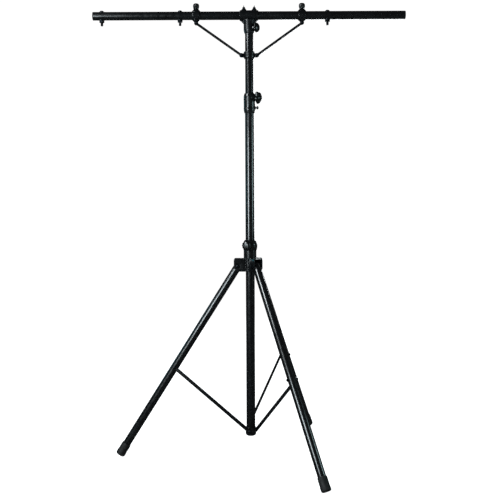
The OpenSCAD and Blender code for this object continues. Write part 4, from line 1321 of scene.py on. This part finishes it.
class STAND_OT_legs(bpy.types.Operator):
    """Leg tubes with their top plugs, strut bolts and spacers."""

    bl_idname = "stand.legs"
    bl_label = "Legs"

    def execute(self, context):
        for name in LEGS:
            body = "leg_" + name
            place = leg_place(name)
            tube = Solid().turned(wall(LEG_R, LEG_R - TUBE_WALL, -LEG_TOP, LEG_LENGTH - 8), place, ROUND)
            tube.cut(leg_pivot_cut(name))
            tube.drill(M6 + FIT, -40, 40, across(leg_place(name, LEG_JOINT)))
            tube.finish("leg_tube_" + name + "_coated", "coat", body, "leg_tube_" + name)
            bore = LEG_R - TUBE_WALL - 0.05
            plug = Solid().lathe([(0, -LEG_TOP - 1.5), (LEG_R - 2, -LEG_TOP - 1.5, 1),
                                  (LEG_R - 0.3, -LEG_TOP - 0.1), (bore, -LEG_TOP), (bore, 34 - LEG_TOP, 1),
                                  (0, 34 - LEG_TOP)], place, ROUND)
            plug.cut(leg_pivot_cut(name))
            plug.finish("leg_plug_" + name + "_moulded", "plastic", body, "leg_plug_" + name)
            joint_place = across(leg_place(name, LEG_JOINT))
            bolt = Solid()
            head_y = STRUT_SIDE + STRUT_THICK / 2 + 0.3
            through_bolt(bolt, M6, *M6_HEAD, -LEG_R - NUT_HIGH, head_y, joint_place, NUT_HIGH)
            hex_nut(bolt, M6, NUT_HIGH, joint_place @ shift(0, 0, -LEG_R - NUT_HIGH))
            bolt.finish("leg_bolt_" + name + "_socket", "steel", body, "leg_bolt_" + name)
            top = STRUT_SIDE - STRUT_THICK / 2 - 0.3
            spacer = Solid().turned(wall(6, M6 + FIT, LEG_R - 2, top, 0.3), joint_place, 48)
            spacer.drill(LEG_R + FIT, 0, LEG_LENGTH, place, ROUND)
            spacer.finish("leg_spacer_" + name + "_moulded", "plastic", body, "leg_spacer_" + name)
        return {"FINISHED"}


class STAND_OT_feet(bpy.types.Operator):
    """Rubber feet pushed over the leg ends, with grip rings near the floor."""

    bl_idname = "stand.feet"
    bl_label = "Feet"

    def execute(self, context):
        for name in LEGS:
            place = leg_place(name, LEG_LENGTH)
            foot = Solid().lathe([(0, -8), (LEG_R + FIT, -8), (LEG_R + FIT, -FOOT_LENGTH, 0.4),
                                  (FOOT_R - 1.4, -FOOT_LENGTH, 0.8), (FOOT_R - 0.6, 4 - FOOT_LENGTH, 1),
                                  (FOOT_R - 0.6, -20, 1), (FOOT_R, -18, 1), (FOOT_R, -FOOT_BEVEL, 1),
                                  (FOOT_R - FOOT_BEVEL, 0, 0.8), (FOOT_R * 0.6, 0, 0.6),
                                  (FOOT_R * 0.55, -1.2, 0.6), (0, -1.2)], place, ROUND)
            foot.finish("foot_" + name + "_moulded", "rubber", "leg_" + name, "foot_" + name)
            mesh = grown(tree_of(ring_tree), None, "rubber", radius=(FOOT_R - 0.6) * MM, rib=0.55 * MM,
                         pitch=4 * MM, count=context.scene.stand_sizes.rib_count)
            mesh.transform(place @ shift(0, 0, 10 - FOOT_LENGTH))
            finished("foot_" + name + "_rings", mesh, "rubber", "leg_" + name, sharp=60)
        return {"FINISHED"}


# ---------------------------------------------------------------- studio


class STAND_OT_stage(bpy.types.Operator):
    """White paper floor, soft lamps and the camera."""

    bl_idname = "stand.stage"
    bl_label = "Studio"

    def execute(self, context):
        look = bpy.context.scene.stand_studio
        reach = 30000
        paper = Solid().lathe([(0, -0.5), (reach, -0.5), (reach, 0), (0, 0)], HERE, 64)
        floor = bpy.data.objects.new("paper_floor", paper.mesh())
        floor.data.materials.append(FINISHES["paper"]())
        bpy.context.scene.collection.objects.link(floor)
        floor.visible_glossy = False

        world = bpy.data.worlds.new("Studio")
        world.use_nodes = True
        tree = world.node_tree
        tree.nodes.clear()
        ray = add(tree, "ShaderNodeLightPath")
        strength = add(tree, "ShaderNodeMapRange", {"Value": ray.outputs["Is Camera Ray"],
                                                    "To Min": look.room_light, "To Max": 1.05})
        backdrop = add(tree, "ShaderNodeBackground", {"Color": linear("#ffffff"), "Strength": strength})
        add(tree, "ShaderNodeOutputWorld", {"Surface": backdrop})
        bpy.context.scene.world = world

        middle = Vector((0, 0, BAR_Z / 2)) * MM
        for name, direction, distance, height, wide, tall, power, tint in (
                ("left_softbox", -127, 3.2, 1.32, 1.0, 1.05, look.key_light * 0.8, "#e3f0f5"),
                ("right_softbox", -17, 3.2, 1.45, 0.6, 1.0, look.key_light * 0.25, "#c4e6ea"),
                ("rear_softbox", 152, 3.2, 1.5, 0.7, 1.1, look.key_light * 0.08, "#5fb4c6"),
                ("high_softbox", -143, 3.0, 3.0, 0.9, 0.8, look.key_light * 0.95, "#eef6fa"),
                ("back_softbox", 78, 3.6, 1.5, 1.2, 1.6, look.key_light * 0.5, "#eef6fa")):
            lamp = bpy.data.lights.new(name, "AREA")
            lamp.shape = "RECTANGLE"
            lamp.size, lamp.size_y = wide, tall
            lamp.energy = power
            lamp.color = linear(tint)[:3]
            stand = bpy.data.objects.new(name, lamp)
            angle = math.radians(direction)
            stand.location = (distance * math.cos(angle), distance * math.sin(angle), height)
            stand.rotation_euler = (middle - stand.location).to_track_quat("-Z", "Y").to_euler()
            bpy.context.scene.collection.objects.link(stand)

        camera = bpy.data.cameras.new("Camera")
        camera.sensor_width = 36
        camera.lens = look.lens
        eye = bpy.data.objects.new("Camera", camera)
        eye.matrix_world = (
            Matrix.Translation((look.camera_side, -look.camera_distance, look.camera_height))
            @ Matrix.Rotation(look.camera_turn, 4, "Z")
            @ Matrix.Rotation(math.pi / 2 - look.camera_drop, 4, "X")
            @ Matrix.Rotation(look.camera_roll, 4, "Z"))
        bpy.context.scene.collection.objects.link(eye)
        bpy.context.scene.camera = eye
        bpy.context.scene.view_settings.view_transform = "Standard"
        return {"FINISHED"}


class StandSizes(bpy.types.PropertyGroup):
    """Sizes of the details that the frame leaves open."""

    weld_width: bpy.props.FloatProperty(name="Weld width", description="Width of a weld bead",
                                        default=3.0 * MM, min=MM, unit="LENGTH")
    melt_grain: bpy.props.FloatProperty(name="Cast grain", description="Finest detail of a cast piece",
                                        default=0.8 * MM, min=0.4 * MM, unit="LENGTH")
    grip_hollows: bpy.props.IntProperty(name="Grip hollows", description="Finger hollows of a round knob",
                                        default=12, min=3)
    lobe_count: bpy.props.IntProperty(name="Lobes", description="Lobes of the mast knob", default=5, min=3)
    rib_count: bpy.props.IntProperty(name="Foot ribs", description="Grip ribs round each foot",
                                     default=4, min=1)


class StandFinishes(bpy.types.PropertyGroup):
    """Colours and gloss of the stand's finishes."""

    coat_dark: bpy.props.StringProperty(name="Coat, dark", description="Darker powder coat tone",
                                        default="#040506")
    coat_light: bpy.props.StringProperty(name="Coat, light", description="Lighter powder coat tone",
                                         default="#090c0e")
    coat_gloss: bpy.props.FloatProperty(name="Coat roughness", description="Mean roughness of the coat",
                                        default=0.27, min=0.05, max=0.9, subtype="FACTOR")
    plastic_dark: bpy.props.StringProperty(name="Plastic, dark", description="Darker nylon tone",
                                           default="#060808")
    plastic_light: bpy.props.StringProperty(name="Plastic, light", description="Lighter nylon tone",
                                            default="#0c1010")
    steel_dark: bpy.props.StringProperty(name="Steel, dark", description="Darker blackened steel tone",
                                         default="#1d1f22")
    steel_light: bpy.props.StringProperty(name="Steel, light", description="Lighter blackened steel tone",
                                          default="#34383c")


class StandStudio(bpy.types.PropertyGroup):
    """Camera and light."""

    camera_side: bpy.props.FloatProperty(name="Side", description="Camera to the right of the mast",
                                         default=-0.0036, unit="LENGTH")
    camera_turn: bpy.props.FloatProperty(name="Turn", description="Camera's turn to its left",
                                         default=math.radians(-0.053), subtype="ANGLE")
    camera_distance: bpy.props.FloatProperty(name="Distance", description="Camera to mast",
                                             default=3.4002, min=1, unit="LENGTH")
    camera_height: bpy.props.FloatProperty(name="Height", description="Camera above the floor",
                                           default=1.0296, min=0, unit="LENGTH")
    camera_drop: bpy.props.FloatProperty(name="Drop", description="Camera's downward tilt",
                                         default=math.radians(3.589), subtype="ANGLE")
    camera_roll: bpy.props.FloatProperty(name="Roll", description="Camera's roll",
                                         default=math.radians(-0.266), subtype="ANGLE")
    lens: bpy.props.FloatProperty(name="Lens", description="Focal length on a 36 mm sensor",
                                  default=62.83, min=10, unit="CAMERA")
    room_light: bpy.props.FloatProperty(name="Room light", description="Strength of the dim room",
                                        default=0.03, min=0)
    key_light: bpy.props.FloatProperty(name="Key light", description="Power of the main softbox",
                                       default=75, min=0, unit="POWER")


OPERATORS = (STAND_OT_mast, STAND_OT_base, STAND_OT_mast_collar, STAND_OT_plunger, STAND_OT_clamp_knobs,
             STAND_OT_t_adapter, STAND_OT_wing_bolts, STAND_OT_arms, STAND_OT_fixture_bolts,
             STAND_OT_clamps, STAND_OT_braces, STAND_OT_hub, STAND_OT_hub_collar, STAND_OT_struts,
             STAND_OT_legs, STAND_OT_feet, STAND_OT_stage,)


class STAND_PT_panel(bpy.types.Panel):
    """Lists the stand's pieces, sizes and finishes."""

    bl_label = "Lighting stand"
    bl_idname = "STAND_PT_panel"
    bl_space_type = "VIEW_3D"
    bl_region_type = "UI"
    bl_category = "Stand"

    def draw(self, context):
        for title, group in (("Sizes", context.scene.stand_sizes),
                             ("Finishes", context.scene.stand_finishes),
                             ("Studio", context.scene.stand_studio)):
            box = self.layout.box()
            box.label(text=title)
            for key in group.__annotations__:
                box.prop(group, key)
        column = self.layout.column(align=True)
        for operator in OPERATORS:
            column.operator(operator.bl_idname)


GROUPS = {"stand_sizes": StandSizes, "stand_finishes": StandFinishes, "stand_studio": StandStudio}


def register():
    """Registers the classes and puts the property groups on the scene."""
    for cls in (*GROUPS.values(), *OPERATORS, STAND_PT_panel):
        bpy.utils.register_class(cls)
    for name, cls in GROUPS.items():
        setattr(bpy.types.Scene, name, bpy.props.PointerProperty(type=cls))


def unregister():
    """Takes the property groups and classes away again."""
    for name in GROUPS:
        delattr(bpy.types.Scene, name)
    for cls in (STAND_PT_panel, *OPERATORS[::-1], *GROUPS.values()):
        bpy.utils.unregister_class(cls)


def main():
    """Builds every piece and the studio."""
    register()
    for operator in OPERATORS:
        group, name = operator.bl_idname.split(".")
        getattr(getattr(bpy.ops, group), name)()


if __name__ == "__main__":
    main()
